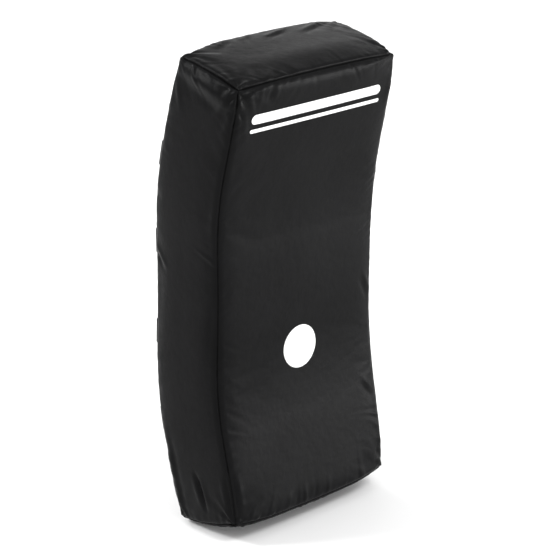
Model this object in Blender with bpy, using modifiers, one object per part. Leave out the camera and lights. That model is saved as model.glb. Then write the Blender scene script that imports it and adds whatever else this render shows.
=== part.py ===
"""A curved punch pad: a bent foam block in a sewn cover, with arm straps, grips and a zip on its back.

The pad is modelled flat and then bent. While it is flat, x runs across it, y is the height over the
back, which is 0 at the back's surface and negative inside, and z runs along the middle of the
thickness. The finished pad stands up with its hollow strike face towards -Y, and its origin is the
centre of its back.
"""

import math

import bmesh
import bpy
from mathutils import Matrix, Vector

MM = 0.001

# The pad
WIDTH = 350 * MM
THICKNESS = 150 * MM
LENGTH = 765 * MM  # along the middle of the thickness
MIDDLE_RUN = 160 * MM  # the straight stretch between the two bends
BEND_RADIUS = 684 * MM  # at the middle of the thickness
BEND_ANGLE = math.radians(12.5)  # of each bend
EDGE_ROUND = 14 * MM
FRONT_CROWN = 4 * MM  # how far each panel swells in its middle
SIDE_CROWN = 4 * MM
END_CROWN = 3 * MM
SEAM_DEPTH = 1.6 * MM  # how far the seams are drawn in
SEAM_REACH = 7 * MM

# The cover and the foam
COVER = 0.9 * MM
SEAM_GAP = 0.6 * MM  # between two panels' edges
FIT = 0.3 * MM  # between any two pieces that touch
FRONT_FOAM = 30 * MM
BACK_FOAM = 30 * MM

# The prints on the strike face, whose places run along its surface from the middle
PRINT = 0.3 * MM
DOT_DIAMETER = 72 * MM
DOT_AT = -103.5 * MM
STRIPE_LENGTH = 280 * MM
WIDE_STRIPE = 16 * MM
WIDE_STRIPE_AT = 307 * MM
NARROW_STRIPE = 6 * MM
NARROW_STRIPE_GAP = 8 * MM

# The webbing, whose places run along the back's surface from the middle
WEBBING = 1.8 * MM
BAND_HEIGHT = 40 * MM
ROW_AT = 150 * MM
ROW_SPREAD = 74 * MM  # from the middle of a row to the middle of each of its bands
FOOT_END = 92 * MM  # from the middle of a row to the outer end of a sewn foot
TURN_RADIUS = 8 * MM  # where webbing leaves the back

# The arm straps
STRAP_WIDTH = 50 * MM
STRAP_X = 68 * MM
ARCH_RADIUS = 52 * MM
ARCH_BASE = 18 * MM  # the height of the arch's centre over the back
STRAP_END = math.radians(35)
FLAP_END = math.radians(140)
PAD_THICKNESS = 1 * MM
PAD_WIDTH = 44 * MM
PAD_FROM = math.radians(55)
PAD_TO = math.radians(132)

# The grips
GRIP_X = 82 * MM
GRIP_HEIGHT = 48 * MM
GRIP_WEBBING_WIDTH = 25 * MM
GRIP_RISE_AT = 64 * MM
GRIP_REACH = 54 * MM  # from the middle of a row to where the webbing turns into the sleeve
SLEEVE_LENGTH = 94 * MM
SLEEVE_DIAMETER = 33 * MM
SLEEVE_BORE = 27 * MM
SLEEVE_ROUND = 2 * MM

# The zip
ZIP_AT = -320 * MM
ZIP_MARGIN = 17 * MM  # from each end of the zip to the side of the pad
ZIP_TAPE = 12 * MM  # from the teeth's outer edge to the tape's sewn edge
ZIP_CHAIN = 6 * MM
ZIP_SPINE = 1.1 * MM
ZIP_PITCH = 5 * MM
TEETH_PROUD = 0.9 * MM
STOP_LENGTH = 4 * MM
STOP_PROUD = 2.2 * MM
SLIDER_LENGTH = 13 * MM
SLIDER_WIDTH = 10.4 * MM
SLIDER_PLATE = 1.4 * MM
BRIDGE_WIDTH = 3 * MM
BRIDGE_WIRE = 1.2 * MM
BRIDGE_RADIUS = 3.4 * MM
PULL_HEIGHT = 1.3 * MM  # of the tab's axis over the slider's plate
PULL_LENGTH = 28 * MM
PULL_WIDTH = 8 * MM
PULL_THICKNESS = 1.2 * MM
PULL_EYE = 4 * MM  # from the tab's axis to the far end of its eye
PULL_BAR = 0.7 * MM  # half the bar that turns under the bridge

# How finely the surfaces are cut
EDGE_STEPS = 4
BEND_STEPS = 5
END_RUN_STEPS = 3
PANEL_CUTS = (-0.6, -0.2, 0.2, 0.6)
ARC_STEP = math.radians(8)
FILLET_STEPS = 4
ROUND_STEPS = 32
SLEEVE_STEPS = 20
SLEEVE_RINGS = 4
WELD = 0.01 * MM

# Colours and finishes: colour, roughness, metallic
NYLON = ((0.024, 0.024, 0.026), 0.5, 0.0)
WEB = ((0.018, 0.018, 0.02), 0.75, 0.0)
FOAM = ((0.55, 0.55, 0.52), 0.9, 0.0)
FIRM_FOAM = ((0.06, 0.065, 0.075), 0.85, 0.0)
WHITE_PRINT = ((0.86, 0.86, 0.85), 0.45, 0.0)
TAPE = ((0.02, 0.02, 0.022), 0.8, 0.0)
ZIP_PLASTIC = ((0.02, 0.02, 0.02), 0.35, 0.0)
ZIP_METAL = ((0.1, 0.1, 0.105), 0.35, 1.0)
HOOKS = ((0.015, 0.015, 0.016), 0.6, 0.0)
LOOPS = ((0.03, 0.03, 0.032), 0.95, 0.0)
RUBBER = ((0.022, 0.022, 0.023), 0.65, 0.0)

# What follows from the sizes
CENTRE = Vector((0, -THICKNESS / 2, 0))
BEND_LENGTH = BEND_RADIUS * BEND_ANGLE
FOAM_INSET = COVER + FIT
PRINT_RISE = FIT + PRINT
ZIP_LENGTH = WIDTH - 2 * ZIP_MARGIN
BAND_RISE = FIT + WEBBING
FOOT_LEVEL = BAND_RISE + FIT + WEBBING / 2
LAP = WEBBING + 3 * FIT + 2 * PAD_THICKNESS
FLAP_HINGE_AT = ARCH_RADIUS + LAP + TURN_RADIUS
ZIP_TEETH_LENGTH = ZIP_LENGTH - 2 * STOP_LENGTH - 4 * FIT
SLIDER_X = ZIP_TEETH_LENGTH / 2 - SLIDER_LENGTH / 2
PLATE_LEVEL = TEETH_PROUD + FIT + SLIDER_PLATE
PULL_LEVEL = PLATE_LEVEL + PULL_HEIGHT


def clear_scene():
    for obj in list(bpy.data.objects):
        bpy.data.objects.remove(obj, do_unlink=True)


def collection(name):
    made = bpy.data.collections.new(name)
    bpy.context.scene.collection.children.link(made)
    return made


def material(name, finish):
    colour, roughness, metallic = finish
    made = bpy.data.materials.new(name)
    made.use_nodes = True
    made.diffuse_color = (*colour, 1)
    shader = made.node_tree.nodes["Principled BSDF"]
    shader.inputs["Base Color"].default_value = (*colour, 1)
    shader.inputs["Roughness"].default_value = roughness
    shader.inputs["Metallic"].default_value = metallic
    return made


def bent(point):
    """Where a point of the flat pad goes when the pad is bent towards its strike face."""
    along = abs(point.z)
    turn = min(max(along - MIDDLE_RUN / 2, 0), BEND_LENGTH) / BEND_RADIUS
    past = max(along - MIDDLE_RUN / 2 - BEND_LENGTH, 0)
    forward = BEND_RADIUS * (1 - math.cos(turn)) + past * math.sin(turn)
    up = min(along, MIDDLE_RUN / 2) + BEND_RADIUS * math.sin(turn) + past * math.cos(turn)
    out = point.y + THICKNESS / 2
    y = CENTRE.y - forward + out * math.cos(turn)
    z = math.copysign(up + out * math.sin(turn), point.z)
    return Vector((point.x, y, z))


def to_middle(along, out):
    """A place along the surface that lies this far out from the middle, as a place along the middle."""
    far = abs(along)
    stretch = (BEND_RADIUS + out) / BEND_RADIUS
    in_bend = min(max(far - MIDDLE_RUN / 2, 0), BEND_LENGTH * stretch)
    past = max(far - MIDDLE_RUN / 2 - BEND_LENGTH * stretch, 0)
    return math.copysign(min(far, MIDDLE_RUN / 2) + in_bend / stretch + past, along)


def on_back(point):
    """Where a fitting's point goes, when its z is a place along the back's surface."""
    return bent(Vector((point.x, point.y, to_middle(point.z, THICKNESS / 2))))


def half_sizes(inset):
    return Vector((WIDTH, THICKNESS, LENGTH)) / 2 - Vector((inset, inset, inset))


def face_depths(point, inset):
    """How far a point lies inside the faces across x, y and z that are nearest to it."""
    local = point - CENTRE
    half = half_sizes(inset)
    return [half[axis] - abs(local[axis]) for axis in range(3)]


def swollen(point, inset):
    """Where a point of the flat form goes when the cover is filled: out in a panel's middle, in at a seam."""
    local = point - CENTRE
    half = half_sizes(inset)
    depth = face_depths(point, inset)
    edge = EDGE_ROUND - inset
    crowns = (SIDE_CROWN, FRONT_CROWN if local.y < 0 else 0, END_CROWN)
    move = Vector()
    for axis in range(3):
        others = [(axis + 1) % 3, (axis + 2) % 3]
        nearness = max(1 - depth[axis] / edge, 0)
        share = math.prod(1 - min(abs(local[other] / half[other]), 1) ** 2 for other in others)
        move[axis] += crowns[axis] * nearness * share
        for other, third in (others, others[::-1]):
            deeper = max(depth[axis], depth[other])
            if deeper < edge:
                off_seam = abs(depth[axis] - depth[other]) + max(deeper - depth[third], 0)
                move[axis] -= SEAM_DEPTH * max(1 - off_seam / SEAM_REACH, 0) * math.sqrt(0.5)
    return point + Vector(move[axis] * math.copysign(1, local[axis]) for axis in range(3))


def cut(bm, point, normal, clear=False):
    """Cuts a mesh along a plane, and with clear removes what lies on the normal's side."""
    geometry = bm.verts[:] + bm.edges[:] + bm.faces[:]
    bmesh.ops.bisect_plane(bm, geom=geometry, plane_co=point, plane_no=normal, clear_outer=clear)


def length_cuts():
    bend_end = MIDDLE_RUN / 2 + BEND_LENGTH
    run = LENGTH / 2 - EDGE_ROUND - bend_end
    cuts = [MIDDLE_RUN / 2 + BEND_LENGTH * step / BEND_STEPS for step in range(BEND_STEPS + 1)]
    cuts += [bend_end + run * step / END_RUN_STEPS for step in range(1, END_RUN_STEPS)]
    return [side * place for place in cuts for side in (-1, 1)]


def pad_form(inset, layer=None):
    """The pad's closed outside, still flat and unswollen, this far inside the real one.

    With layer, a lowest and a highest y, it is only the slice between those two.
    """
    bm = bmesh.new()
    bmesh.ops.create_cube(bm, size=1)
    bmesh.ops.scale(bm, vec=2 * half_sizes(inset), verts=bm.verts)
    bmesh.ops.translate(bm, vec=CENTRE, verts=bm.verts)
    bmesh.ops.bevel(
        bm,
        geom=bm.edges[:],
        offset=EDGE_ROUND - inset,
        offset_type="OFFSET",
        segments=EDGE_STEPS,
        profile=0.5,
        affect="EDGES",
    )
    across = Vector((0, 1, 0))
    if layer:
        cut(bm, (0, layer[0], 0), -across, clear=True)
        cut(bm, (0, layer[1], 0), across, clear=True)
        bmesh.ops.holes_fill(bm, edges=[edge for edge in bm.edges if edge.is_boundary])
    else:
        for depth in (-BACK_FOAM, FRONT_FOAM - THICKNESS):
            cut(bm, (0, depth, 0), across)
    for place in length_cuts():
        cut(bm, (0, 0, place), (0, 0, 1))
    for share in PANEL_CUTS:
        cut(bm, (share * (WIDTH / 2 - EDGE_ROUND), 0, 0), (1, 0, 0))
    return bm


def fill_and_bend(bm, inset):
    for vert in bm.verts:
        vert.co = bent(swollen(vert.co, inset))


def face_out(bm):
    """Turns every face of a closed mesh outwards."""
    bmesh.ops.recalc_face_normals(bm, faces=bm.faces)
    if bm.calc_volume(signed=True) < 0:
        bmesh.ops.reverse_faces(bm, faces=bm.faces)


def place(bm, name, finish, group):
    """Makes a mesh the object of this name, shaded smooth between its sharp edges."""
    mesh = bpy.data.meshes.new(name)
    bm.to_mesh(mesh)
    bm.free()
    mesh.shade_smooth()
    mesh.set_sharp_from_angle(angle=math.radians(35))
    mesh.materials.append(material(name, finish))
    obj = bpy.data.objects.new(name, mesh)
    group.objects.link(obj)
    return obj


def solidify(obj, thickness):
    shell = obj.modifiers.new("thickness", "SOLIDIFY")
    shell.thickness = thickness
    shell.offset = -1
    shell.use_even_offset = True


def hung_on(obj, name, point, group):
    """Parents a moving piece to an empty that stands on its joint's axis."""
    pivot = bpy.data.objects.new(name, None)
    group.objects.link(pivot)
    pivot.location = point
    obj.parent = pivot
    obj.matrix_parent_inverse = Matrix.Translation(-point)


# The foam


def foam_layers(group):
    back_joint = -BACK_FOAM
    front_joint = FRONT_FOAM - THICKNESS
    layers = {
        "front_foam_layer": (-THICKNESS, front_joint - FIT / 2, FIRM_FOAM),
        "core_foam_block": (front_joint + FIT / 2, back_joint - FIT / 2, FOAM),
        "back_foam_layer": (back_joint + FIT / 2, 0, FIRM_FOAM),
    }
    for name, (low, high, finish) in layers.items():
        bm = pad_form(FOAM_INSET, layer=(low, high))
        fill_and_bend(bm, FOAM_INSET)
        face_out(bm)
        place(bm, name, finish, group)


# The cover


def nearest_face(point):
    """The axis across the face of the pad that a point lies nearest, and whether it is the far face."""
    depths = face_depths(point, 0)
    axis = depths.index(min(depths))
    return axis, point[axis] > CENTRE[axis]


def sheet(form, belongs, inset):
    """The part of a form whose faces belong, drawn back from its neighbours by half a seam and bent."""
    bm = form.copy()
    spare = [face for face in bm.faces if not belongs(face.calc_center_median())]
    bmesh.ops.delete(bm, geom=spare, context="FACES")
    rim = bmesh.ops.inset_region(
        bm,
        faces=bm.faces[:],
        thickness=SEAM_GAP / 2,
        use_boundary=True,
        use_even_offset=True,
    )
    bmesh.ops.delete(bm, geom=rim["faces"], context="FACES")
    fill_and_bend(bm, inset)
    return bm


def cover_panels(form, group):
    panels = {
        "left_side_panel": (0, False),
        "right_side_panel": (0, True),
        "front_panel": (1, False),
        "bottom_panel": (2, False),
        "top_panel": (2, True),
    }
    for name, face in panels.items():
        bm = sheet(form, lambda point: nearest_face(point) == face, 0)
        solidify(place(bm, name, NYLON, group), COVER)


def back_pieces(form, group):
    """The back's two panels and, in the window between them, the zip's two tapes."""
    zip_at = to_middle(ZIP_AT, THICKNESS / 2)
    bm = form.copy()
    for reach in (-ZIP_CHAIN / 2 - ZIP_TAPE, -ZIP_CHAIN / 2, 0, ZIP_CHAIN / 2, ZIP_CHAIN / 2 + ZIP_TAPE):
        cut(bm, (0, 0, zip_at + reach), (0, 0, 1))
    for end in (-ZIP_LENGTH / 2, ZIP_LENGTH / 2):
        cut(bm, (end, 0, 0), (1, 0, 0))

    def is_back(point):
        return nearest_face(point) == (1, True)

    def in_window(point):
        beside_zip = abs(point.z - zip_at) < ZIP_CHAIN / 2 + ZIP_TAPE
        return beside_zip and abs(point.x) < ZIP_LENGTH / 2

    def in_tape(point, side):
        return is_back(point) and in_window(point) and side * (point.z - zip_at) > ZIP_CHAIN / 2

    def in_panel(point, side):
        return is_back(point) and not in_window(point) and side * (point.z - zip_at) > 0

    pieces = {
        "back_panel": (in_panel, 1, NYLON),
        "back_hem": (in_panel, -1, NYLON),
        "zip_upper_tape": (in_tape, 1, TAPE),
        "zip_lower_tape": (in_tape, -1, TAPE),
    }
    for name, (belongs, side, finish) in pieces.items():
        piece = sheet(bm, lambda point: belongs(point, side), 0)
        solidify(place(piece, name, finish, group), COVER)
    bm.free()


# The prints


def print_cutter(name, size, along, cutters, rounding):
    """A block over the strike face, square to it at a place along it, that cuts a print to its outline."""
    bm = bmesh.new()
    bmesh.ops.create_cube(bm, size=1)
    bmesh.ops.scale(bm, vec=size, verts=bm.verts)
    upright = [edge for edge in bm.edges if abs(edge.verts[0].co.y - edge.verts[1].co.y) > size.y / 2]
    bmesh.ops.bevel(
        bm,
        geom=upright,
        offset=rounding,
        offset_type="OFFSET",
        segments=ROUND_STEPS // 4,
        profile=0.5,
        affect="EDGES",
        clamp_overlap=True,
    )
    bmesh.ops.remove_doubles(bm, verts=bm.verts, dist=WELD)
    middle = to_middle(along, -THICKNESS / 2)
    at = bent(Vector((0, -THICKNESS, middle)))
    normal = at - bent(Vector((0, 0, middle)))
    turn = Vector((0, -1, 0)).rotation_difference(normal)
    bmesh.ops.transform(bm, matrix=Matrix.Translation(at) @ turn.to_matrix().to_4x4(), verts=bm.verts)
    face_out(bm)
    obj = place(bm, name, WHITE_PRINT, cutters)
    obj.hide_render = True
    obj.display_type = "WIRE"
    return obj


def prints(group, cutters):
    narrow_at = WIDE_STRIPE_AT - WIDE_STRIPE / 2 - NARROW_STRIPE_GAP - NARROW_STRIPE / 2
    outlines = {
        "aiming_dot": (DOT_DIAMETER, DOT_DIAMETER, DOT_AT),
        "mark_stripe_wide": (STRIPE_LENGTH, WIDE_STRIPE, WIDE_STRIPE_AT),
        "mark_stripe_narrow": (STRIPE_LENGTH, NARROW_STRIPE, narrow_at),
    }
    form = pad_form(-PRINT_RISE)
    for name, (width, height, along) in outlines.items():
        bm = sheet(form, lambda point: nearest_face(point) == (1, False), -PRINT_RISE)
        obj = place(bm, name, WHITE_PRINT, group)
        solidify(obj, PRINT)
        outline = obj.modifiers.new("outline", "BOOLEAN")
        outline.operation = "INTERSECT"
        size = Vector((width, EDGE_ROUND * 2, height))
        outline.object = print_cutter(name + "_outline", size, along, cutters, height / 2)
    form.free()


# The webbing


def bands(group):
    """The four bands that run across the back, from seam to seam, which the straps and grips are sewn to."""
    form = pad_form(-BAND_RISE)
    rows = {"upper_row": ROW_AT, "lower_row": -ROW_AT}
    sides = {"upper_band": 1, "lower_band": -1}
    for row, row_at in rows.items():
        for band, side in sides.items():
            centre = row_at + side * ROW_SPREAD
            low = to_middle(centre - BAND_HEIGHT / 2, THICKNESS / 2)
            high = to_middle(centre + BAND_HEIGHT / 2, THICKNESS / 2)
            bm = form.copy()
            for edge in (low, high):
                cut(bm, (0, 0, edge), (0, 0, 1))

            def in_band(point):
                return nearest_face(point) == (1, True) and low < point.z < high

            piece = sheet(bm, in_band, -BAND_RISE)
            bm.free()
            solidify(place(piece, f"{row}_{band}", WEB, group), WEBBING)
    form.free()


def arc(centre, radius, start, end):
    """Points on an arc in the plane of z and y, where angles run from +z towards +y."""
    steps = max(round(abs(end - start) / ARC_STEP), FILLET_STEPS)
    angles = [start + (end - start) * step / steps for step in range(steps + 1)]
    return [centre + radius * Vector((math.cos(angle), math.sin(angle))) for angle in angles]


def filleted(corners, radius):
    """A path through corners, each rounded by the same radius."""
    path = [corners[0]]
    for before, corner, after in zip(corners, corners[1:], corners[2:]):
        back = (before - corner).normalized()
        ahead = (after - corner).normalized()
        half_angle = back.angle(ahead) / 2
        centre = corner + (back + ahead).normalized() * radius / math.sin(half_angle)
        first = corner + back * radius / math.tan(half_angle) - centre
        start = math.atan2(first.y, first.x)
        turn = math.copysign(math.pi - 2 * half_angle, back.cross(ahead))
        path += arc(centre, radius, start, start - turn)
    return path + [corners[-1]]


def ribbon(path, thickness, round_start=False):
    """The outline of webbing seen on edge, half its thickness to each side of a path."""
    sides = ([], [])
    for index, point in enumerate(path):
        ahead = path[min(index + 1, len(path) - 1)]
        behind = path[max(index - 1, 0)]
        along = (ahead - behind).normalized()
        across = Vector((-along.y, along.x)) * thickness / 2
        sides[0].append(point + across)
        sides[1].append(point - across)
    outline = sides[0] + sides[1][::-1]
    if round_start:
        first = sides[1][0] - path[0]
        start = math.atan2(first.y, first.x)
        outline += arc(path[0], thickness / 2, start, start - math.pi)[1:-1]
    return outline


def extruded(outlines, thickness):
    """Outlines in x and y with this thickness along z, centred on the plane, as a mesh."""
    curve = bpy.data.curves.new("outline", "CURVE")
    curve.dimensions = "2D"
    curve.fill_mode = "BOTH"
    curve.extrude = thickness / 2
    for outline in outlines:
        spline = curve.splines.new("POLY")
        spline.points.add(len(outline) - 1)
        for point, corner in zip(spline.points, outline):
            point.co = (corner[0], corner[1], 0, 1)
        spline.use_cyclic_u = True
    obj = bpy.data.objects.new("outline", curve)
    bpy.context.scene.collection.objects.link(obj)
    graph = bpy.context.evaluated_depsgraph_get()
    mesh = bpy.data.meshes.new_from_object(obj.evaluated_get(graph))
    bm = bmesh.new()
    bm.from_mesh(mesh)
    bmesh.ops.remove_doubles(bm, verts=bm.verts, dist=WELD)
    bpy.data.objects.remove(obj)
    bpy.data.meshes.remove(mesh)
    return bm


def fitting(bm, name, finish, group):
    for vert in bm.verts:
        vert.co = on_back(vert.co)
    face_out(bm)
    return place(bm, name, finish, group)


def webbing_piece(name, outline, x, width, row_at, finish, group):
    """A strip whose outline is given in places along the row and heights, and that is this wide in x."""
    bm = extruded([outline], width)
    for vert in bm.verts:
        along, height, across = vert.co
        vert.co = Vector((x - across, height, row_at + along))
    return fitting(bm, name, finish, group)


def arm_strap(row, row_at, x, group):
    centre = Vector((0, ARCH_BASE))
    foot_turn = Vector((0, FOOT_LEVEL + TURN_RADIUS))
    quarter = math.pi / 2

    def strip(name, path, finish, width, thickness, round_start=False):
        outline = ribbon(path, thickness, round_start)
        return webbing_piece(f"{row}_{name}", outline, x, width, row_at, finish, group)

    rise = ARCH_RADIUS + TURN_RADIUS
    path = [Vector((-FOOT_END, FOOT_LEVEL))]
    path += arc(foot_turn - Vector((rise, 0)), TURN_RADIUS, -quarter, 0)
    path += arc(centre, ARCH_RADIUS, math.pi, STRAP_END)
    strip("arm_strap", path, WEB, STRAP_WIDTH, WEBBING)

    anchor_end = FLAP_HINGE_AT + WEBBING / 2 + FIT
    path = [Vector((anchor_end, FOOT_LEVEL)), Vector((FOOT_END, FOOT_LEVEL))]
    strip("arm_strap_anchor", path, WEB, STRAP_WIDTH, WEBBING)

    path = arc(foot_turn + Vector((FLAP_HINGE_AT, 0)), TURN_RADIUS, -quarter, -2 * quarter)
    path += arc(centre, ARCH_RADIUS + LAP, 0, FLAP_END)
    flap = strip("arm_strap_flap", path, WEB, STRAP_WIDTH, WEBBING, round_start=True)

    loop_radius = ARCH_RADIUS + WEBBING / 2 + FIT + PAD_THICKNESS / 2
    strip("loop_pad", arc(centre, loop_radius, PAD_FROM, PAD_TO), LOOPS, PAD_WIDTH, PAD_THICKNESS)
    hook_radius = loop_radius + PAD_THICKNESS + FIT
    hooks = strip("hook_pad", arc(centre, hook_radius, PAD_FROM, PAD_TO), HOOKS, PAD_WIDTH, PAD_THICKNESS)

    hinge = on_back(Vector((x, FOOT_LEVEL, row_at + FLAP_HINGE_AT)))
    hung_on(flap, f"{row}_flap_hinge", hinge, group)
    hooks.parent = flap.parent
    hooks.matrix_parent_inverse = flap.matrix_parent_inverse


def grip(row, row_at, x, group):
    half = [Vector((-FOOT_END, FOOT_LEVEL)), Vector((-GRIP_RISE_AT, FOOT_LEVEL)), Vector((-GRIP_REACH, GRIP_HEIGHT))]
    corners = half + [Vector((-corner.x, corner.y)) for corner in reversed(half)]
    path = filleted(corners, TURN_RADIUS)
    outline = ribbon(path, WEBBING)
    webbing_piece(f"{row}_grip_strap", outline, x, GRIP_WEBBING_WIDTH, row_at, WEB, group)
    grip_sleeve(f"{row}_grip_sleeve", row_at, x, group)


def grip_sleeve(name, row_at, x, group):
    """A rubber tube round the grip's webbing, turned about the line that the webbing runs along."""
    outer = SLEEVE_DIAMETER / 2
    bore = SLEEVE_BORE / 2
    end = SLEEVE_LENGTH / 2
    shoulder = end - SLEEVE_ROUND
    rings = [shoulder - 2 * shoulder * ring / SLEEVE_RINGS for ring in range(SLEEVE_RINGS + 1)]
    profile = [(outer - SLEEVE_ROUND, end)] + [(outer, ring) for ring in rings]
    profile += [(outer - SLEEVE_ROUND, -end), (bore, -end)]
    profile += [(bore, ring) for ring in rings[-2:0:-1]] + [(bore, end)]
    bm = bmesh.new()
    verts = [bm.verts.new((radius, 0, height)) for radius, height in profile]
    for first, second in zip(verts, verts[1:] + verts[:1]):
        bm.edges.new((first, second))
    mesh = bpy.data.meshes.new("profile")
    bm.to_mesh(mesh)
    bm.free()
    obj = bpy.data.objects.new("profile", mesh)
    bpy.context.scene.collection.objects.link(obj)
    turned = obj.modifiers.new("turned", "SCREW")
    turned.steps = turned.render_steps = SLEEVE_STEPS
    graph = bpy.context.evaluated_depsgraph_get()
    bm = bmesh.new()
    bm.from_mesh(obj.evaluated_get(graph).data)
    bpy.data.objects.remove(obj)
    bpy.data.meshes.remove(mesh)
    bmesh.ops.remove_doubles(bm, verts=bm.verts, dist=WELD)
    bmesh.ops.translate(bm, vec=(x, GRIP_HEIGHT, row_at), verts=bm.verts)
    fitting(bm, name, RUBBER, group)


def rows(group):
    for row, row_at, side in (("upper", ROW_AT, 1), ("lower", -ROW_AT, -1)):
        arm_strap(row, row_at, -side * STRAP_X, group)
        grip(row, row_at, side * GRIP_X, group)


# The zip


def zip_plate(name, outlines, low, high, finish, group):
    """A piece of the zip whose outlines are given in x and across the zip, between two heights."""
    bm = extruded(outlines, high - low)
    for vert in bm.verts:
        x, across, height = vert.co
        vert.co = Vector((x, (low + high) / 2 - height, ZIP_AT + across))
    return fitting(bm, name, finish, group)


def zip_teeth(name, side, group):
    """One side of the chain: a spine with teeth that reach across, each between two of the other side's."""
    end = ZIP_TEETH_LENGTH / 2
    outer = side * ZIP_CHAIN / 2
    root = side * (ZIP_CHAIN / 2 - ZIP_SPINE)
    tip = -side * (ZIP_CHAIN / 2 - ZIP_SPINE - FIT)
    width = ZIP_PITCH / 2 - FIT
    count = int(ZIP_TEETH_LENGTH / ZIP_PITCH)
    first = -count * ZIP_PITCH / 2 + ZIP_PITCH * (2 - side) / 4
    outline = [(-end, outer), (-end, root)]
    for tooth in range(count):
        left = first + tooth * ZIP_PITCH - width / 2
        outline += [(left, root), (left, tip), (left + width, tip), (left + width, root)]
    outline += [(end, root), (end, outer)]
    zip_plate(name, [outline], -COVER, TEETH_PROUD, ZIP_PLASTIC, group)


def zip_stop(name, side, group):
    near = side * (ZIP_TEETH_LENGTH / 2 + FIT)
    far = near + side * STOP_LENGTH
    half = ZIP_CHAIN / 2
    outline = [(near, -half), (far, -half), (far, half), (near, half)]
    zip_plate(name, [outline], -COVER, STOP_PROUD, ZIP_METAL, group)


def joined(obj, other):
    """Joins other into obj for good, so that the piece is one body."""
    union = obj.modifiers.new("union", "BOOLEAN")
    union.operation = "UNION"
    union.object = other
    graph = bpy.context.evaluated_depsgraph_get()
    mesh = bpy.data.meshes.new_from_object(obj.evaluated_get(graph))
    obj.modifiers.clear()
    obj.data = mesh
    bpy.data.objects.remove(other)


def zip_slider(group):
    """A plate over the teeth with a flange down each side, and a bridge that the pull tab hangs from."""
    half = SLIDER_WIDTH / 2
    inner = ZIP_CHAIN / 2 + FIT
    below = TEETH_PROUD + FIT
    section = [(half, FIT), (half, PLATE_LEVEL), (-half, PLATE_LEVEL), (-half, FIT)]
    section += [(-inner, FIT), (-inner, below), (inner, below), (inner, FIT)]
    bm = extruded([section], SLIDER_LENGTH)
    for vert in bm.verts:
        across, height, along = vert.co
        vert.co = Vector((SLIDER_X - along, height, ZIP_AT + across))
    slider = fitting(bm, "zip_slider", ZIP_METAL, group)

    sunk = PLATE_LEVEL - SLIDER_PLATE / 2
    axis = Vector((0, PULL_LEVEL))
    opening = BRIDGE_RADIUS - BRIDGE_WIRE
    arch = [Vector((BRIDGE_RADIUS, sunk))] + arc(axis, BRIDGE_RADIUS, 0, math.pi)
    arch += [Vector((-BRIDGE_RADIUS, sunk)), Vector((-opening, sunk))]
    arch += arc(axis, opening, math.pi, 0) + [Vector((opening, sunk))]
    bm = extruded([arch], BRIDGE_WIDTH)
    for vert in bm.verts:
        along, height, across = vert.co
        vert.co = Vector((SLIDER_X + along, height, ZIP_AT + across))
    bridge = fitting(bm, "bridge", ZIP_METAL, group)
    joined(slider, bridge)
    return slider


def pull_tab(group):
    """A tab with an eye at one end, whose bar turns under the slider's bridge."""
    half = PULL_WIDTH / 2
    eye_half = BRIDGE_WIDTH / 2 + FIT
    far = SLIDER_X - PULL_LENGTH
    near = SLIDER_X + PULL_BAR
    end_centre = Vector((far + half, 0))
    quarter = math.pi / 2
    outline = [Vector((near, -half)), Vector((near, half))]
    outline += arc(end_centre, half, quarter, 3 * quarter)
    eye = [Vector((SLIDER_X - PULL_BAR, -eye_half)), Vector((SLIDER_X - PULL_BAR, eye_half))]
    eye += [Vector((SLIDER_X - PULL_EYE, eye_half)), Vector((SLIDER_X - PULL_EYE, -eye_half))]
    low = PULL_LEVEL - PULL_THICKNESS / 2
    tab = zip_plate("zip_pull_tab", [outline, eye], low, low + PULL_THICKNESS, ZIP_METAL, group)
    hung_on(tab, "pull_tab_axis", on_back(Vector((SLIDER_X, PULL_LEVEL, ZIP_AT))), group)
    return tab


def zip_fastener(group):
    zip_teeth("zip_upper_teeth", 1, group)
    zip_teeth("zip_lower_teeth", -1, group)
    zip_stop("zip_left_stop", -1, group)
    zip_stop("zip_right_stop", 1, group)
    slider = zip_slider(group)
    tab = pull_tab(group)
    hung_on(slider, "slider_track", on_back(Vector((SLIDER_X, 0, ZIP_AT))), group)
    tab.parent.parent = slider.parent
    tab.parent.matrix_parent_inverse = Matrix.Translation(-slider.parent.location)


def build():
    clear_scene()
    pad = collection("punch_pad")
    cutters = collection("cutters")
    foam_layers(pad)
    form = pad_form(0)
    cover_panels(form, pad)
    back_pieces(form, pad)
    form.free()
    prints(pad, cutters)
    bands(pad)
    rows(pad)
    zip_fastener(pad)


build()
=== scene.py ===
"""The looks of a curved punch pad: its sewn cover, foam, prints, webbing, grips and zip.

Places on the pad are given flat and then bent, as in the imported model: x runs across the pad, y is the
height over its back, and z runs along it. A fitting's z runs along the back's own surface.
"""

import math

import bmesh
import bpy
import numpy as np
from mathutils import Euler, Matrix, Vector
from mathutils.kdtree import KDTree


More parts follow.
